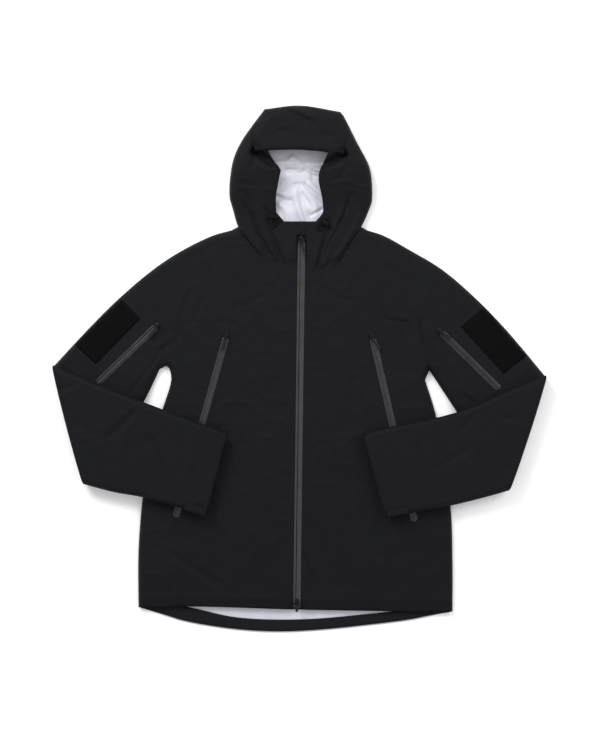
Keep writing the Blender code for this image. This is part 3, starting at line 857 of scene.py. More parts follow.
ARM_FOLDS = {
    "right": [
        ([(-470, -36), (-432, -32), (-404, -24)], -1.6, 6, 8, 0.2),
        ([(-300, -76), (-318, -90), (-342, -112), (-368, -134)], -3.0, 8, 10, 0.15),
        ([(-366, -130), (-350, -162), (-346, -196)], -1.3, 12, 12, 0.3),
        ([(-288, -118), (-266, -160), (-248, -214)], -2.0, 10, 12, 0.2),
        ([(-268, -108), (-240, -132), (-214, -160)], -1.3, 7, 7, 0.25),
        ([(-440, -96), (-404, -112), (-378, -132)], -1.0, 14, 12, 0.3),
        ([(-150, -116), (-143, -142), (-148, -184)], -2.6, 5, 8, 0.15),
        ([(-230, -100), (-216, -150), (-226, -210)], -0.8, 16, 16, 0.3),
    ],
    "left": [
        ([(330, -78), (318, -98), (300, -118)], -2.4, 7, 7, 0.2),
        ([(368, -84), (392, -92), (420, -94)], -1.4, 6, 7, 0.25),
        ([(244, -192), (288, -168), (336, -138)], -1.8, 10, 10, 0.25),
        ([(430, -140), (400, -168), (384, -206)], -1.0, 14, 14, 0.3),
        ([(210, -130), (228, -170), (222, -220)], -0.9, 16, 16, 0.3),
        ([(124, -134), (136, -180), (150, -236)], -1.6, 6, 8, 0.2),
    ],
}
LINING_FOLDS = [
    (
        [(-60, 388), (-40, 391), (-24, 392), (-13, 403), (6, 386), (14, 391), (35, 388), (56, 390)],
        3.4, 3, 8, 0.08,
    ),
    (
        [(-60, 376), (-35, 377), (-27, 382), (-8, 382), (-1, 377), (10, 380), (32, 371), (56, 368)],
        3.6, 8, 3, 0.08,
    ),
    ([(-34, 366), (-24, 374), (-14, 372)], -1.4, 4, 5, 0.2),
    ([(16, 376), (26, 368), (36, 366)], -2.0, 3, 4, 0.2),
    ([(-16, 348), (-3, 353), (6, 351)], -2.2, 3, 7, 0.2),
    ([(-56, 334), (-42, 328), (-29, 322), (-10, 320)], -3.8, 6, 4, 0.15),
    ([(-52, 336), (-38, 334), (-22, 330)], 2.2, 6, 6, 0.2),
    ([(-44, 318), (-28, 306), (-22, 284), (-22, 268)], 4.0, 5, 9, 0.15),
    ([(-44, 300), (-38, 290), (-36, 270)], 2.2, 5, 6, 0.2),
    ([(-3, 350), (-8, 330), (-3, 307), (8, 280), (10, 268)], 4.2, 7, 9, 0.15),
    ([(4, 340), (5, 316), (13, 284), (15, 268)], -3.6, 5, 5, 0.15),
    ([(3, 350), (16, 330), (28, 312), (32, 290)], 3.6, 7, 6, 0.2),
    ([(5, 356), (18, 343), (40, 325), (56, 314)], -4.2, 4, 6, 0.12),
    ([(12, 356), (26, 346), (46, 330)], 2.6, 6, 5, 0.2),
    ([(18, 290), (30, 297), (50, 308)], -3.4, 4, 4, 0.15),
    ([(19, 304), (18, 286), (20, 268)], -2.4, 4, 4, 0.2),
    ([(26, 352), (24, 372), (28, 386)], -1.6, 4, 5, 0.25),
    ([(-46, 350), (-34, 346), (-30, 358)], 1.6, 6, 6, 0.25),
]


def folded(places, folds):
    return sum((fold(places, *each) for each in folds), np.zeros(len(places)))


# ---------------------------------------------------------------- heights of the cloth


def closed_edge(places):
    """The height at which the two plies meet, which rises from the body's to the hood's."""
    return BODY_EDGE + (HOOD_EDGE - BODY_EDGE) * smoothstep(places[:, 1], *SEAM_BAND)


def body_top(places):
    apart = distance_to(places, BODY_EDGES)
    height = BODY_EDGE + (BODY_TOP - BODY_EDGE) * rounded_edge(apart, 15)
    off_zips = smoothstep(distance_to(places, ZIP_LINES), 7, 16)
    zip_ends = [FRONT_LINE[:1] * 2, FRONT_LINE[1:] * 2]
    off_zips *= 1 - (1 - smoothstep(distance_to(places, zip_ends), 12, 40))
    waves = 0.5 * rumple(places, 120, 5) - 0.4 + 0.22 * rumple(places, 46, 6)
    height += (folded(places, BODY_FOLDS) + waves) * smoothstep(apart, 0, 18) * off_zips
    for side, sign in SIDES.items():
        outside, inside_seam = (beside_path(GUSSET_SEAM[side], sign * across) for across in (4.5, -3.0))
        height -= fold(places, outside, 1.9, 3.6, 3.6, 0.12)
        height += fold(places, inside_seam, 0.9, 4, 4, 0.12)
    for hem in HEMS.values():
        to_hem = distance_to(places, [hem])
        height -= 4.0 * (1 - smoothstep(to_hem, 0, 24)) * smoothstep(apart, 0, 15)
    return height


def body_low(places):
    apart = distance_to(places, BODY_EDGES + HOOD_EDGES)
    rise = smoothstep(places[:, 1], *SEAM_BAND)
    edge = closed_edge(places)
    height = edge - (edge - BODY_FOOT) * rounded_edge(apart, 15 + 8 * rise)
    return height + 0.25 * (rumple(places, 90, 8) + 1) * smoothstep(apart, 0, 18)


FACE_EDGES, DRAPE_HEMS = [], []
for side, sign in SIDES.items():
    zip_side = FRONT_LINE[0][0] + sign * 7
    slot_top = min(COLLAR[side], key=lambda p: abs(p[1] - CHIN_LOW.y) + abs(p[0] - zip_side))
    slot_foot = corner_towards(COLLAR[side], (-sign, -1.6))
    FACE_EDGES.append(cloth_edge(DRAPE[side], (CHIN_MIDDLE, CHIN_HIGH.y), (sign * 56, 434)))
    FACE_EDGES.append(cloth_edge(DRAPE[side], slot_top, slot_foot))
    DRAPE_HEMS.append(cloth_edge(DRAPE[side], slot_foot, corner_towards(COLLAR[side], (sign, -0.4))))


def hood_top(places):
    """The collar and the hood, which rises from the collar's level and rolls down along its open edges."""
    rise = smoothstep(places[:, 1], 280, 396)
    level = COLLAR_TOP + (HOOD_TOP - COLLAR_TOP) * rise
    to_hem = distance_to(places, DRAPE_HEMS)
    outer = smoothstep(np.abs(places[:, 0]), 56, 84)
    sunk = (COLLAR_TOP - BODY_TOP + 1.5) * (1 - outer) + 1.6 * outer
    level -= sunk * (1 - smoothstep(to_hem, 0, 42)) * (1 - rise)
    edge = closed_edge(places)
    apart = distance_to(places, HOOD_EDGES)
    height = edge + (level - edge) * rounded_edge(apart, 11 + 14 * rise)
    height -= 2.0 * (1 - rounded_edge(distance_to(places, FACE_EDGES), 7)) * smoothstep(apart, 0, 14)
    creases = folded(places, DRAPE_FOLDS) + 0.5 * rumple(places, 60, 15)
    return height + creases * smoothstep(apart, 0, 16) * smoothstep(to_hem, 0, 8 + 8 * (1 - outer))


def arm_height(places, side, top):
    apart = distance_to(places, ARM_EDGES[side])
    to_cuff = distance_to(places, [CUFF[side]])
    near_cuff = 1 - smoothstep(to_cuff, 0, 70)
    spread = rounded_edge(apart, 13) * (1 - 0.22 * near_cuff)
    if not top:
        return ARM_EDGE - (ARM_EDGE - ARM_FOOT) * spread
    height = ARM_EDGE + (ARM_TOP - 0.6 - ARM_EDGE) * spread
    extra = folded(places, ARM_FOLDS[side]) + 0.5 * rumple(places, 80, 11 + SIDES[side]) - 0.4
    return height + extra * smoothstep(apart, 0, 14)


def raised(points, heights):
    return np.column_stack([points, heights])


def kept_under(heights, level, room):
    """Heights over level are pressed softly into the room above it."""
    over = np.maximum(heights - level, 0)
    return np.minimum(heights, level) + room * np.tanh(over / room)


# ---------------------------------------------------------------- cloth simulation


def open_rim(faces):
    """The indices of the points on a mesh's open edges."""
    count = {}
    for face in faces:
        for a, b in zip(face, face[1:] + face[:1]):
            count[(min(a, b), max(a, b))] = count.get((min(a, b), max(a, b)), 0) + 1
    return {i for edge, uses in count.items() if uses == 1 for i in edge}


def settled(points, faces, held, seed, cap=1.2):
    """Cloth simulation: the sheet, cut a little large, wrinkles as it settles on a floor of its own shape.
    held are the points that seams and zips keep still. Returns the new heights, at most cap away."""
    scale = 0.01  # the solver works best on a cloth of a few units, so a millimetre is a hundredth here
    still = np.zeros(len(points), bool)
    still[list(held)] = True
    cloth, floor = (bpy.data.meshes.new(name) for name in ("slack", "under"))
    started, below = points.copy(), points.copy()
    started[:, 2] += np.where(still, 0, 0.4 * (rumple(points[:, :2], 40, seed) + 1))
    below[:, 2] -= 0.6
    pieces = []
    for mesh, places in ((cloth, started), (floor, below)):
        mesh.from_pydata([tuple(float(c) * scale for c in p) for p in places], [], faces)
        pieces.append(new_object(mesh.name, mesh))
    group = pieces[0].vertex_groups.new(name="held")
    group.add([int(i) for i in held], 1.0, "REPLACE")
    pieces[1].modifiers.new("under", "COLLISION")
    pieces[1].collision.thickness_outer = 0.001
    modifier = pieces[0].modifiers.new("settle", "CLOTH")
    laminate = modifier.settings
    laminate.quality = 5
    laminate.mass = 0.25
    laminate.tension_stiffness = laminate.compression_stiffness = 15
    laminate.shear_stiffness = 5
    laminate.bending_stiffness = 0.35
    laminate.air_damping = 2
    laminate.vertex_group_mass = "held"
    laminate.shrink_min = -SWELL
    modifier.collision_settings.distance_min = 0.002
    modifier.point_cache.frame_start, modifier.point_cache.frame_end = 1, SETTLE_FRAMES + 1
    for frame_number in range(1, SETTLE_FRAMES + 1):
        bpy.context.scene.frame_set(frame_number)
    result = np.empty(len(points) * 3, np.float32)
    graph = bpy.context.evaluated_depsgraph_get()
    pieces[0].evaluated_get(graph).data.vertices.foreach_get("co", result)
    moved = result.reshape(-1, 3)[:, 2] / scale - points[:, 2]
    for piece in pieces:
        mesh = piece.data
        bpy.data.objects.remove(piece)
        bpy.data.meshes.remove(mesh)
    bpy.context.scene.frame_set(1)
    moved = np.where(still, 0, cap * np.tanh(moved / cap))
    return points[:, 2] + moved


# ---------------------------------------------------------------- surfaces that details are laid on


GROUND = {}


def remember(name, points, faces):
    """Keeps a finished cloth as a surface that details can lie on."""
    GROUND[name] = BVHTree.FromPolygons([tuple(map(float, p)) for p in points], [list(face) for face in faces])


def ground(name, x, y, reach=2.5):
    """The height of a finished cloth at a place, or of the cloth nearby where it has a slit."""
    if name == "torso":
        return max(ground(f"{side}_body", x, y, 6.0) if x * SIDES[side] > -8 else 0 for side in SIDES)
    found = []
    for dx, dy in ((0, 0), (reach, 0), (-reach, 0), (0, reach), (0, -reach)):
        hit = GROUND[name].ray_cast(Vector((x + dx, y + dy, 90)), Vector((0, 0, -1)))[0]
        if hit:
            found.append(hit.z)
            if not dx and not dy:
                break
    return found[0] if len(found) == 1 else max(found, default=BODY_TOP)


def attached(piece, body, slot, *nodes):
    """Says which body a piece rides and which CAD nodes it replaces. The slot argument is not used."""
    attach(piece, body)
    if nodes:
        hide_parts(*nodes)


def add_ribbon(name, path, profile, surface, material, spacing=4.0, taper=(0.01, 0.01)):
    """A strip whose cross-section, (across, up) pairs round a closed loop, follows a path over a surface.
    The surface is a finished cloth's name or a function of the place."""
    stations = even(path, spacing)
    total = stations[-1][2]
    points, faces = [], []
    for place, run, gone in stations:
        across = Vector((-run.y, run.x))
        shares = [min(1, to_end / reach) for to_end, reach in zip((gone, total - gone), taper)]
        narrow = max(0.12, math.sqrt(1 - (1 - min(shares)) ** 2))
        for aside, up in profile:
            spot = place + across * aside * narrow
            base = surface(spot) if callable(surface) else ground(surface, spot.x, spot.y)
            points.append((spot.x, spot.y, base + up))
    count = len(profile)
    for row in range(len(stations) - 1):
        for i in range(count):
            a, b = row * count + i, row * count + (i + 1) % count
            faces.append((a, b, b + count, a + count))
    faces += [tuple(range(count))[::-1], tuple(range(len(points) - count, len(points)))]
    piece = faced_outward(add_mesh(name, points, faces, material))
    piece.data.set_sharp_from_angle(angle=math.radians(50))
    return piece


def welt(width, height=0.35):
    """The cross-section of a felled seam."""
    half = width / 2
    return [(-half, -0.3), (half, -0.3), (half - 0.2, height * 0.8), (0, height), (0.2 - half, height * 0.8)]


def add_stitches(name, paths, surface, body="torso", slot="shell_fabric", pitch=3.4, length=2.2):
    """Rows of topstitching: each stitch is a little spindle of thread half sunk in the cloth."""
    lift, half = 0.1, 0.22
    points, faces = [], []
    for path in paths:
        for place, run, _ in even(path, pitch)[1:-1]:
            base = ground(surface, place.x, place.y) + lift
            across = Vector((-run.y, run.x)) * half
            ring = [(across.x, across.y, 0), (0, 0, half), (-across.x, -across.y, 0), (0, 0, -half)]
            first = len(points)
            for end in (-1, 1):
                tip = place + run * end * length / 2
                points.append((tip.x, tip.y, ground(surface, tip.x, tip.y) + lift - 0.15))
            points += [(place.x + dx, place.y + dy, base + dz) for dx, dy, dz in ring]
            for i in range(4):
                a, b = first + 2 + i, first + 2 + (i + 1) % 4
                faces += [(first, a, b), (first + 1, b, a)]
    attached(faced_outward(add_mesh(name, points, faces, THREAD)), body, slot)


# ---------------------------------------------------------------- the garment


def add_sheet(name, node, height, material, inner, slot, thickness=CLOTH):
    """A hidden cloth that fills a CAD node's outline and lies between the plies of the body."""
    outline = seam_outline(node)
    points, faces = filled(outline, 6.0)
    piece = thickened(add_mesh(name, raised(points, height(points)), faces, material, inner), thickness)
    attached(piece, "torso", slot, node)


def merged(*plans):
    """Sheets that share seams, as one: points within a twentieth of a millimetre are the same."""
    points, faces, known = [], [], {}
    for plan, triangles in plans:
        index = []
        for x, y in plan:
            key = (round(x * 20), round(y * 20))
            near = [(key[0] + i, key[1] + j) for i in (0, -1, 1) for j in (0, -1, 1)]
            match = next((known[k] for k in near if k in known), None)
            if match is None:
                match = known[key] = len(points)
                points.append((x, y))
            index.append(match)
        for face in triangles:
            corners = tuple(index[i] for i in face)
            if len(set(corners)) == 3:
                faces.append(corners)
    return np.array(points), faces


def on_line(points, start, end):
    """The indices of the points that lie on a straight line, in order from its start."""
    signed, way = beside(points, [start, end])
    found = [i for i in range(len(points)) if abs(signed[i]) < 0.05 and -1e-6 <= way[i] <= 1 + 1e-6]
    return sorted(found, key=lambda i: way[i])


def elbow_strip(upper, lower, outward, bulge, rows=12):
    """Rows of points that wrap from one ply's elbow edge round to the other's."""
    count = len(upper)
    strip = []
    for row in range(rows + 1):
        turn = math.pi * (row / rows - 0.5)
        for i, (a, b) in enumerate(zip(upper, lower)):
            a, b = np.array(a), np.array(b)
            reach = bulge * math.sin(math.pi * i / (count - 1)) ** 0.35 if 0 < i < count - 1 else 0
            middle, half = (a + b) / 2, (b - a) / 2
            point = middle + half * math.sin(turn)
            point[:2] += outward * reach * math.cos(turn)
            strip.append(point)
    faces = []
    for row in range(rows):
        for i in range(count - 1):
            first = row * count + i
            faces.append((first, first + 1, first + count + 1, first + count))
    return strip, faces


def add_half(side):
    """A front and its sleeve as one cloth, from the zip to the cuff, folded back on itself at the elbow."""
    points, faces = [], []

    def add(part, triangles, reverse=False):
        start = len(points)
        points.extend(part)
        faces.extend(tuple(start + i for i in (face[::-1] if reverse else face)) for face in triangles)

    def elbow(ply):
        return ply[on_line(ply[:, :2], *ELBOW[side])]

    upper_plan, upper_faces = filled(cloth_ring(UPPER[side]), 5.0)
    plan, triangles = merged(filled(cloth_ring(FRONT[side]), 5.0), (upper_plan, upper_faces))
    beside_zips = distance_to(plan, [*ZIP_LINES, FRONT_LINE]) < 8.5
    still = open_rim(triangles) | set(np.nonzero(beside_zips)[0].tolist())
    heights = settled(raised(plan, body_top(plan)), triangles, still, 31)
    top = raised(plan, kept_under(heights, BODY_TOP, TORSO_LIMIT - BODY_TOP - 0.1))
    add(top, triangles)
    remember(f"{side}_body", top, triangles)
    low = raised(upper_plan, body_low(upper_plan))
    add(low, upper_faces, reverse=True)
    elbow_top, elbow_low = elbow(top), elbow(low)

    arm_plan, arm_faces = filled(cloth_ring(FOREARM[side]), 5.0)
    arm = raised(arm_plan, arm_height(arm_plan, side, True))
    arm = raised(arm_plan, settled(arm, arm_faces, open_rim(arm_faces), 37, cap=1.0))
    under = raised(arm_plan, arm_height(arm_plan, side, False))
    add(arm, arm_faces)
    add(under, arm_faces, reverse=True)
    remember(f"{side}_forearm", arm, arm_faces)

    high, foot = (np.array(corner) for corner in ELBOW[side])
    along = (foot - high) / np.hypot(*(foot - high))
    outward = np.array((-along[1], along[0])) * SIDES[side]
    for first, second, bulge in ((elbow_low, elbow(arm), 5.0), (elbow_top, elbow(under), 1.6)):
        strip, quads = elbow_strip(first, second, outward, bulge)
        add(strip, quads, reverse=(bulge > 2) == (SIDES[side] > 0))
    piece = thickened(welded(add_mesh(f"{side}_half_cloth", points, faces, SHELL, LINING)))
    places = np.array([polygon.center for polygon in piece.data.polygons]) / MM
    # Inner faces near the cuff and beside the elbow fold take the dark shell cloth in place of the pale lining:
    # painted shade inside the sleeve.
    is_painted_shade = (distance_to(places[:, :2], [CUFF[side]]) < CUFF_SHADE_DEPTH) & (places[:, 2] > TORSO_LIMIT)
    is_painted_shade |= distance_to(places[:, :2], [ELBOW[side]]) < 9
    for index in np.nonzero(is_painted_shade)[0]:
        piece.data.polygons[index].material_index = 0
    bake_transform(piece)
    nodes = ("front_panel", "yoke_panel", "upper_sleeve", "underarm_gusset", "forearm_sleeve")
    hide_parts(*(f"{side}_{node}" for node in nodes))


def blend_hood(piece):
    """Bakes the piece's placement into its mesh."""
    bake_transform(piece)


def add_back():
    points, faces = filled(cloth_ring(BACK), 6.0)
    piece = add_mesh("back_cloth", raised(points, body_low(points)), faces, LINING, SHELL)
    thickened(piece, rim=1)
    blend_hood(piece)
    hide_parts(*BACK_NODES)


def add_hood():
    """The collar, both sides of the hood and its crown as one cloth round the face opening."""
    outlines = (DRAPE["right"], DRAPE["left"], CROWN)
    plan, triangles = merged(*(filled(cloth_ring(outline), 3.2) for outline in outlines))
    height = hood_top(plan)
    height = settled(raised(plan, height), triangles, open_rim(triangles), 41, cap=1.3)
    near_locks = distance_to(plan, [[lock_place(side)[:2]] * 2 for side in SIDES])
    under_locks = np.minimum(height, 17.4 + 0.25 * np.maximum(near_locks - 11, 0))
    top = raised(plan, np.where(near_locks < 30, under_locks, height))
    remember("hood", top, triangles)
    piece = thickened(add_mesh("hood_cloth", top, triangles, SHELL, LINING))
    blend_hood(piece)
    nodes = ("hood_right_side_panel", "hood_left_side_panel", "right_collar_panel", "left_collar_panel")
    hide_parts(*nodes, "hood_crown_panel", "chin_guard")


def lock_place(side):
    low, high = box(f"{side}_cord_lock_body")
    return (low + high) / 2


def add_brim():
    """The stiff visor, which comes out of the crown's surface and rolls over at its front edge."""
    low, high = box("hood_brim")
    lower = sorted((point for point in seam_outline("hood_brim") if point[1] < high.y - 8), key=lambda p: p[0])
    lower = [(x, y - BRIM_REACH) for x, y in lower]
    left_root = [(low.x + 5, high.y + 9), (low.x - 1.5, high.y - 1)]
    right_root = [(high.x + 2.5, high.y - 1), (high.x - 3, high.y + 9)]
    ring = eased([*left_root, *lower, *right_root], closed=True, soft=50)
    front_edge = edge_of(ring, lower[0], lower[-1])

    def height(places):
        crown = np.array([ground("hood", x, max(y, high.y + 2.5)) for x, y in places])
        crown = np.maximum(crown, 31.5) + 0.15
        on_brim = 1 - smoothstep(places[:, 1], high.y - 14, high.y + 8)
        tip = 1 - smoothstep(places[:, 1], low.y - 4, high.y - 8)
        level = crown + (36.8 - crown) * on_brim - 0.5 * tip
        level -= 2.8 * (1 - rounded_edge(distance_to(places, [front_edge]), 7)) * on_brim
        ends = np.minimum(places[:, 0] - low.x, high.x - places[:, 0])
        droop = 7.5 * (1 - smoothstep(ends, -3, 24)) * smoothstep(high.y + 4 - places[:, 1], 0, 18)
        return level - droop + 0.35 * rumple(places, 50, 91) * on_brim

    points, faces = filled(ring, 3.2)
    top = raised(points, height(points))
    remember("brim", top, faces)
    piece = thickened(add_mesh("hood_brim_cloth", top, faces, SHELL, SHELL), 1.2)
    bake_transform(piece)
    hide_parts("hood_brim")
    add_stitches("hood_brim_stitches", [beside_path(trimmed(front_edge, 6, 6), 7.0)], "brim", "hood_brim")


def add_hood_lining():
    """The pale inside of the hood, which shows through the face opening, with its taped seams. A band of it
    under the brim takes a darker copy of the lining: painted shade.
    """
    outline = [
        (-92, 266), (92, 266), (112, 320), (108, 400), (88, 448), (-84, 448), (-108, 400), (-110, 320),
    ]

    def height(places):
        side = distance_to(places, [looped(outline)])
        along = places[:, 1]
        level = 3.5 + 6.0 * smoothstep(along, 380, 440) + 3.0 * smoothstep(along, 262, 330)
        creases = folded(places, LINING_FOLDS) + 0.7 * rumple(places, 40, 21)
        return level + creases * smoothstep(side, 0, 20) + 1.2

    points, faces = filled(cloth_ring(outline), 2.6)
    top = raised(points, height(points))
    remember("lining", top, faces)
    piece = add_mesh("hood_lining", top, faces, LINING, LINING_PAINTED_SHADE)
    # Faces between 380 and 430 mm take the darker copy of the lining: painted shade under the brim.
    for polygon in piece.data.polygons:
        polygon.material_index = int(380 * MM < polygon.center.y < 430 * MM)
    thickened(piece, inner=False)
    blend_hood(piece)
    upper = [(-70, 392), (-40, 395), (-25, 396), (-14, 407), (6, 391), (14, 395), (35, 393), (62, 395)]
    lower = [(-70, 380), (-35, 381), (-26, 386), (-8, 386), (-1, 381), (11, 384), (32, 375), (62, 372)]
    for number, (path, width) in enumerate(((upper, 8.0), (lower, 6.0))):
        path = eased(path, soft=15)
        tape = add_ribbon(f"lining_tape_{number}", path, welt(width, 0.3), "lining", SEAM_TAPE, 2.5)
        attached(tape, "hood", "inner_face")


# ---------------------------------------------------------------- zips

# Cross-sections of the films over the zips, across and up from the tape's middle.
RIGHT_FILM = [(-6.9, 0.0), (-2.7, -0.1), (-2.75, 0.55), (-3.3, 0.95), (-6.3, 0.5), (-6.8, 0.3)]
LEFT_FILM = [(-1.6, -0.1), (6.9, 0.0), (6.8, 0.3), (6.3, 0.5), (-0.8, 1.0), (-1.55, 0.55)]
SIDE_FILM = [
    (-6.4, 0.0), (6.4, 0.0), (6.3, 0.35), (5.8, 0.55), (-1.0, 1.0), (-1.7, 0.6),
    (-1.9, -0.3), (-2.4, -0.3), (-2.6, 0.6), (-3.2, 0.95), (-5.8, 0.5), (-6.3, 0.35),
]


def add_front_zip():
    for side, profile in (("right", RIGHT_FILM), ("left", LEFT_FILM)):
        tape = add_ribbon(f"front_zip_{side}_film", FRONT_LINE, profile, "torso", ZIP_FILM, taper=(24, 2))
        attached(tape, "torso", "zip_tape", f"front_zip_{side}_tape")


def add_side_zips(side):
    kinds = (("pocket", POCKET_LINE[side], POCKET_FILM_PAINTED_SHADE), ("arm_pocket", ARM_LINE[side], ARM_FILM_PAINTED_SHADE))
    for kind, line, film in kinds:
        shown = trimmed(line, 8, 0)  # the film starts under the slider
        tape = add_ribbon(f"{side}_{kind}_zip_film", shown, SIDE_FILM, f"{side}_body", film, taper=(6, 0.5))
        attached(tape, "torso", "zip_tape", f"{side}_{kind}_zip_tape")
        outer = [beside_path(line, distance) for distance in (9.0, -9.0)]
        add_stitches(f"{side}_{kind}_zip_stitches", outer, f"{side}_body")


# ---------------------------------------------------------------- seams, patches and other details


def add_seams(side):
    """The felled seams of yoke, raglan and gusset, with rows of stitches there and along hem and cuff."""
    sign = SIDES[side]
    yoke = edge_of(seam_outline(f"{side}_yoke_panel"), (sign * 2, 72), (sign * 226, 91))
    raglan = sorted(shared_corners(FRONT[side], UPPER[side]), key=lambda point: -point[1])
    surface = f"{side}_body"
    kinds = {
        "yoke": (trimmed(yoke, 8, 4), 3.0, 0.2),
        "raglan": (trimmed(raglan, 26, 6), 2.4, 0.12),
        "gusset": (GUSSET_SEAM[side], 5.0, 0.5),
    }
    for kind, (path, width, height) in kinds.items():
        seam = add_ribbon(f"{side}_{kind}_seam", path, welt(width, height), surface, SHELL)
        attached(seam, "torso", "shell_fabric")
    rows = [beside_path(kinds["gusset"][0], distance) for distance in (2.6, -2.6)]
    rows.append(beside_path(kinds["yoke"][0], sign * 3.0))
    rows.append(beside_path(trimmed(HEMS[side], 10, 12), sign * -16.0))
    add_stitches(f"{side}_body_stitches", rows, surface)
    row = beside_path(trimmed(CUFF[side], 6, 6), sign * 20.0)
    add_stitches(f"{side}_cuff_stitches", [row], f"{side}_forearm", f"{side}_forearm")


def add_patch(side):
    """A panel of loop pile laid on the body's cloth, with a rounded rim."""
    outline = seam_outline(f"{side}_arm_patch")
    points, faces = filled(resampled(outline, 4.0, closed=True), 4.0)
    rim = distance_to(points, [looped(outline)])
    heights = np.array([ground(f"{side}_body", x, y) for x, y in points])
    top = raised(points, heights + 0.5 + 0.9 * rounded_edge(rim, 1.6) + 0.1 * rumple(points, 18, 51))
    piece = thickened(add_mesh(f"{side}_pile_patch", top, faces, PILE, PILE), 0.9)
    attached(piece, "torso", "loop_pile", f"{side}_arm_patch")
    remember(f"{side}_patch", top, faces)
    row = looped(grown(outline, -3.0))
    add_stitches(f"{side}_patch_stitches", [row], f"{side}_patch", slot="loop_pile")


def add_cuff_tab(side):
    """The tab that closes a cuff, and the strip that joins it to the forearm."""
    outline = seam_outline(f"{side}_cuff_tab", gap=0.0)
    points, faces = filled(resampled(eased(outline, closed=True, soft=20), 2.0, closed=True), 2.2)
    rim = distance_to(points, [looped(outline)])
    foot = box(f"{side}_cuff_tab")[0].z
    top = raised(points, foot + 0.55 + 0.6 * rounded_edge(rim, 1.5) + 0.05 * rumple(points, 12, 61))
    piece = thickened(add_mesh(f"{side}_tab_cloth", top, faces, SHELL, SHELL), 0.5)
    attached(piece, f"{side}_cuff_tab", "shell_fabric", f"{side}_cuff_tab")
    root = sorted(sorted(outline, key=lambda point: point[1])[:2])
    skirt = [(-0.3, -7.5), (0.3, -7.5), (0.3, 0.0), (-0.3, 0.0)]
    hinge = add_ribbon(f"{side}_tab_root", root, skirt, lambda spot: foot + 0.6, SHELL)
    attached(hinge, f"{side}_forearm", "shell_fabric")
    remember(f"{side}_tab", top, faces)
    row = looped(grown(outline, -2.2))
    add_stitches(f"{side}_tab_stitches", [row], f"{side}_tab", f"{side}_cuff_tab", pitch=2.6, length=1.7)


def add_hem_band():
    """The back hem's facing, a band of shell cloth turned up over the pale lining."""
    outline = seam_outline("back_hem_facing", gap=0.6)
    ends = []
    for side, sign in SIDES.items():
        x, y = HEM_CORNER[side]
        ends.append([(x - sign * 4, y - 1.5), (x - sign * 6, y + 16)])
    first = outline.index(min(outline))
    ring = outline[first:] + outline[:first]
    second = ring.index(max(ring))
    outline = [*ends[0][::-1], *ring[1:second], *ends[1], *ring[second + 1:]]
    points, faces = filled(eased(outline, closed=True), 4.0)
    rim = distance_to(points, [looped(outline)])
    gathers = np.zeros(len(points))
    for x in (-232, -214, -198, -180, -160, 196, 214):
        gathers += fold(points, [(x - 14, -450), (x, -468), (x + 16, -492)], 0.7, 4, 6, 0.15)
    roll = 0.5 * rounded_edge(rim, 3)
    top = raised(points, body_low(points) + 1.0 + roll + gathers + 0.2 * (rumple(points, 40, 71) + 1))
    remember("hem", top, faces)
    piece = thickened(add_mesh("back_hem_band", top, faces, FACING, FACING))
    attached(piece, "torso", "shell_fabric", "back_hem_facing")
    add_stitches("back_hem_stitches", [looped(grown(outline, -2.5))], "hem")


def add_inside_pieces():
    """The storm flap behind the zip, the pocket bags and the hanger loop."""

    def flap_height(places):
        return BODY_TOP - 2.6 + 0.2 * rumple(places, 60, 81)

    def bag_height(places):
        return BODY_TOP - 3.2 + 0.3 * rumple(places, 70, 83)

    add_sheet("storm_flap_cloth", "zip_storm_flap", flap_height, SHELL, LINING, "shell_fabric")
    for side in SIDES:
        names = (f"{side}_pocket_mesh", f"{side}_pocket_bag")
        add_sheet(*names, bag_height, MESH_CLOTH, MESH_CLOTH, "pocket_mesh", thickness=0.4)
    low, high = box("hanger_loop")
    middle, half = (low.y + high.y) / 2, (high.x - low.x) / 2
    tape = [(-2.6, 0.0), (2.6, 0.0), (2.9, 0.4), (2.6, 0.8), (-2.6, 0.8), (-2.9, 0.4)]

    def arch(spot):
        share = min(1, (half - abs(spot.x)) / 9)
        return low.z + 0.1 + (high.z - low.z - 1.4) * math.sin(share * math.pi / 2) ** 2

    loop = add_ribbon("hanger_loop_tape", [(low.x, middle), (high.x, middle)], tape, arch, CORD, 1.5)
    attached(loop, "torso", "shell_fabric", "hanger_loop")


# ---------------------------------------------------------------- the hood's drawcords

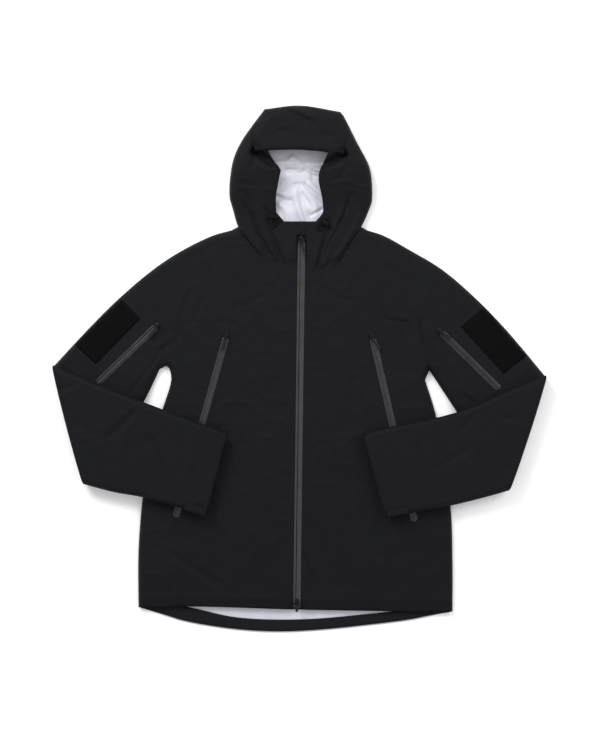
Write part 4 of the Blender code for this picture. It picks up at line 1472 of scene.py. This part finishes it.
# Each cord lock: its heading in degrees, the side that its loop bends to, and its centre in plan.
LOCK_HEADING = {"right": 175.0, "left": -38.0}
LOOP_SIDE = {"right": 1, "left": -1}
LOCK_CENTRE = {"right": (-47, 289), "left": (47, 279)}
DRAWCORD = [
    (-3.2, 5.7, 21.5), (-4.6, 10.0, 20.4), (-5.0, 14.6, 19.4), (-3.2, 18.2, 19.1), (0.2, 19.6, 19.1),
    (3.6, 18.2, 19.1), (5.2, 14.6, 19.4), (4.7, 10.0, 20.4), (3.2, 5.7, 21.5),
]
CORD_DIAMETER = 0.0025


def smooth(points, steps=3):
    """Points along a Catmull-Rom curve through the given ones, as the CAD cord is drawn."""
    points = [Vector(point) for point in points]
    ends = [points[0] * 2 - points[1], *points, points[-1] * 2 - points[-2]]
    curve = []
    for a, b, c, d in zip(ends, ends[1:], ends[2:], ends[3:]):
        for step in range(steps):
            t = step / steps
            square, cube = (a * 2 - b * 5 + c * 4 - d) * t**2, (b * 3 - a - c * 3 + d) * t**3
            curve.append((b * 2 + (c - a) * t + square + cube) / 2)
    return [*curve, points[-1]]


def add_drawcord(side):
    turn = math.radians(LOCK_HEADING[side])
    ahead = Vector((math.cos(turn), math.sin(turn)))
    left = Vector((-ahead.y, ahead.x)) * LOOP_SIDE[side]
    places = []
    for along, aside, height in DRAWCORD:
        place = Vector(LOCK_CENTRE[side]) + ahead * along + left * aside
        places.append((place.x * MM, place.y * MM, height * MM))
    route = smooth(places)
    curve = bpy.data.curves.new(f"{side}_drawcord_loop", "CURVE")
    curve.dimensions = "3D"
    curve.bevel_depth = CORD_DIAMETER / 2
    curve.bevel_resolution = 4
    curve.use_fill_caps = True
    curve.materials.append(CORD)
    spline = curve.splines.new("POLY")
    spline.points.add(len(route) - 1)
    for point, place in zip(spline.points, route):
        point.co = (*place, 1)
    spline.use_smooth = True
    piece = new_object(f"{side}_drawcord_loop", curve)
    attached(piece, "torso", "drawcord", f"{side}_hood_drawcord")


# ---------------------------------------------------------------- the jacket

add_camera()
add_studio()
for side in SIDES:
    add_drawcord(side)
for side in SIDES:
    add_half(side)
add_hood()
add_back()
add_brim()
add_hood_lining()
add_front_zip()
for side in SIDES:
    add_side_zips(side)
    add_seams(side)
    add_patch(side)
    add_cuff_tab(side)
add_hem_band()
add_inside_pieces()

for name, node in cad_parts.items():
    finishes = {"slider": METAL, "pull": RUBBER, "lock": GLOSS}
    found = next((shader for key, shader in finishes.items() if key in name), FACING)
    node.data.materials.clear()
    node.data.materials.append(found)
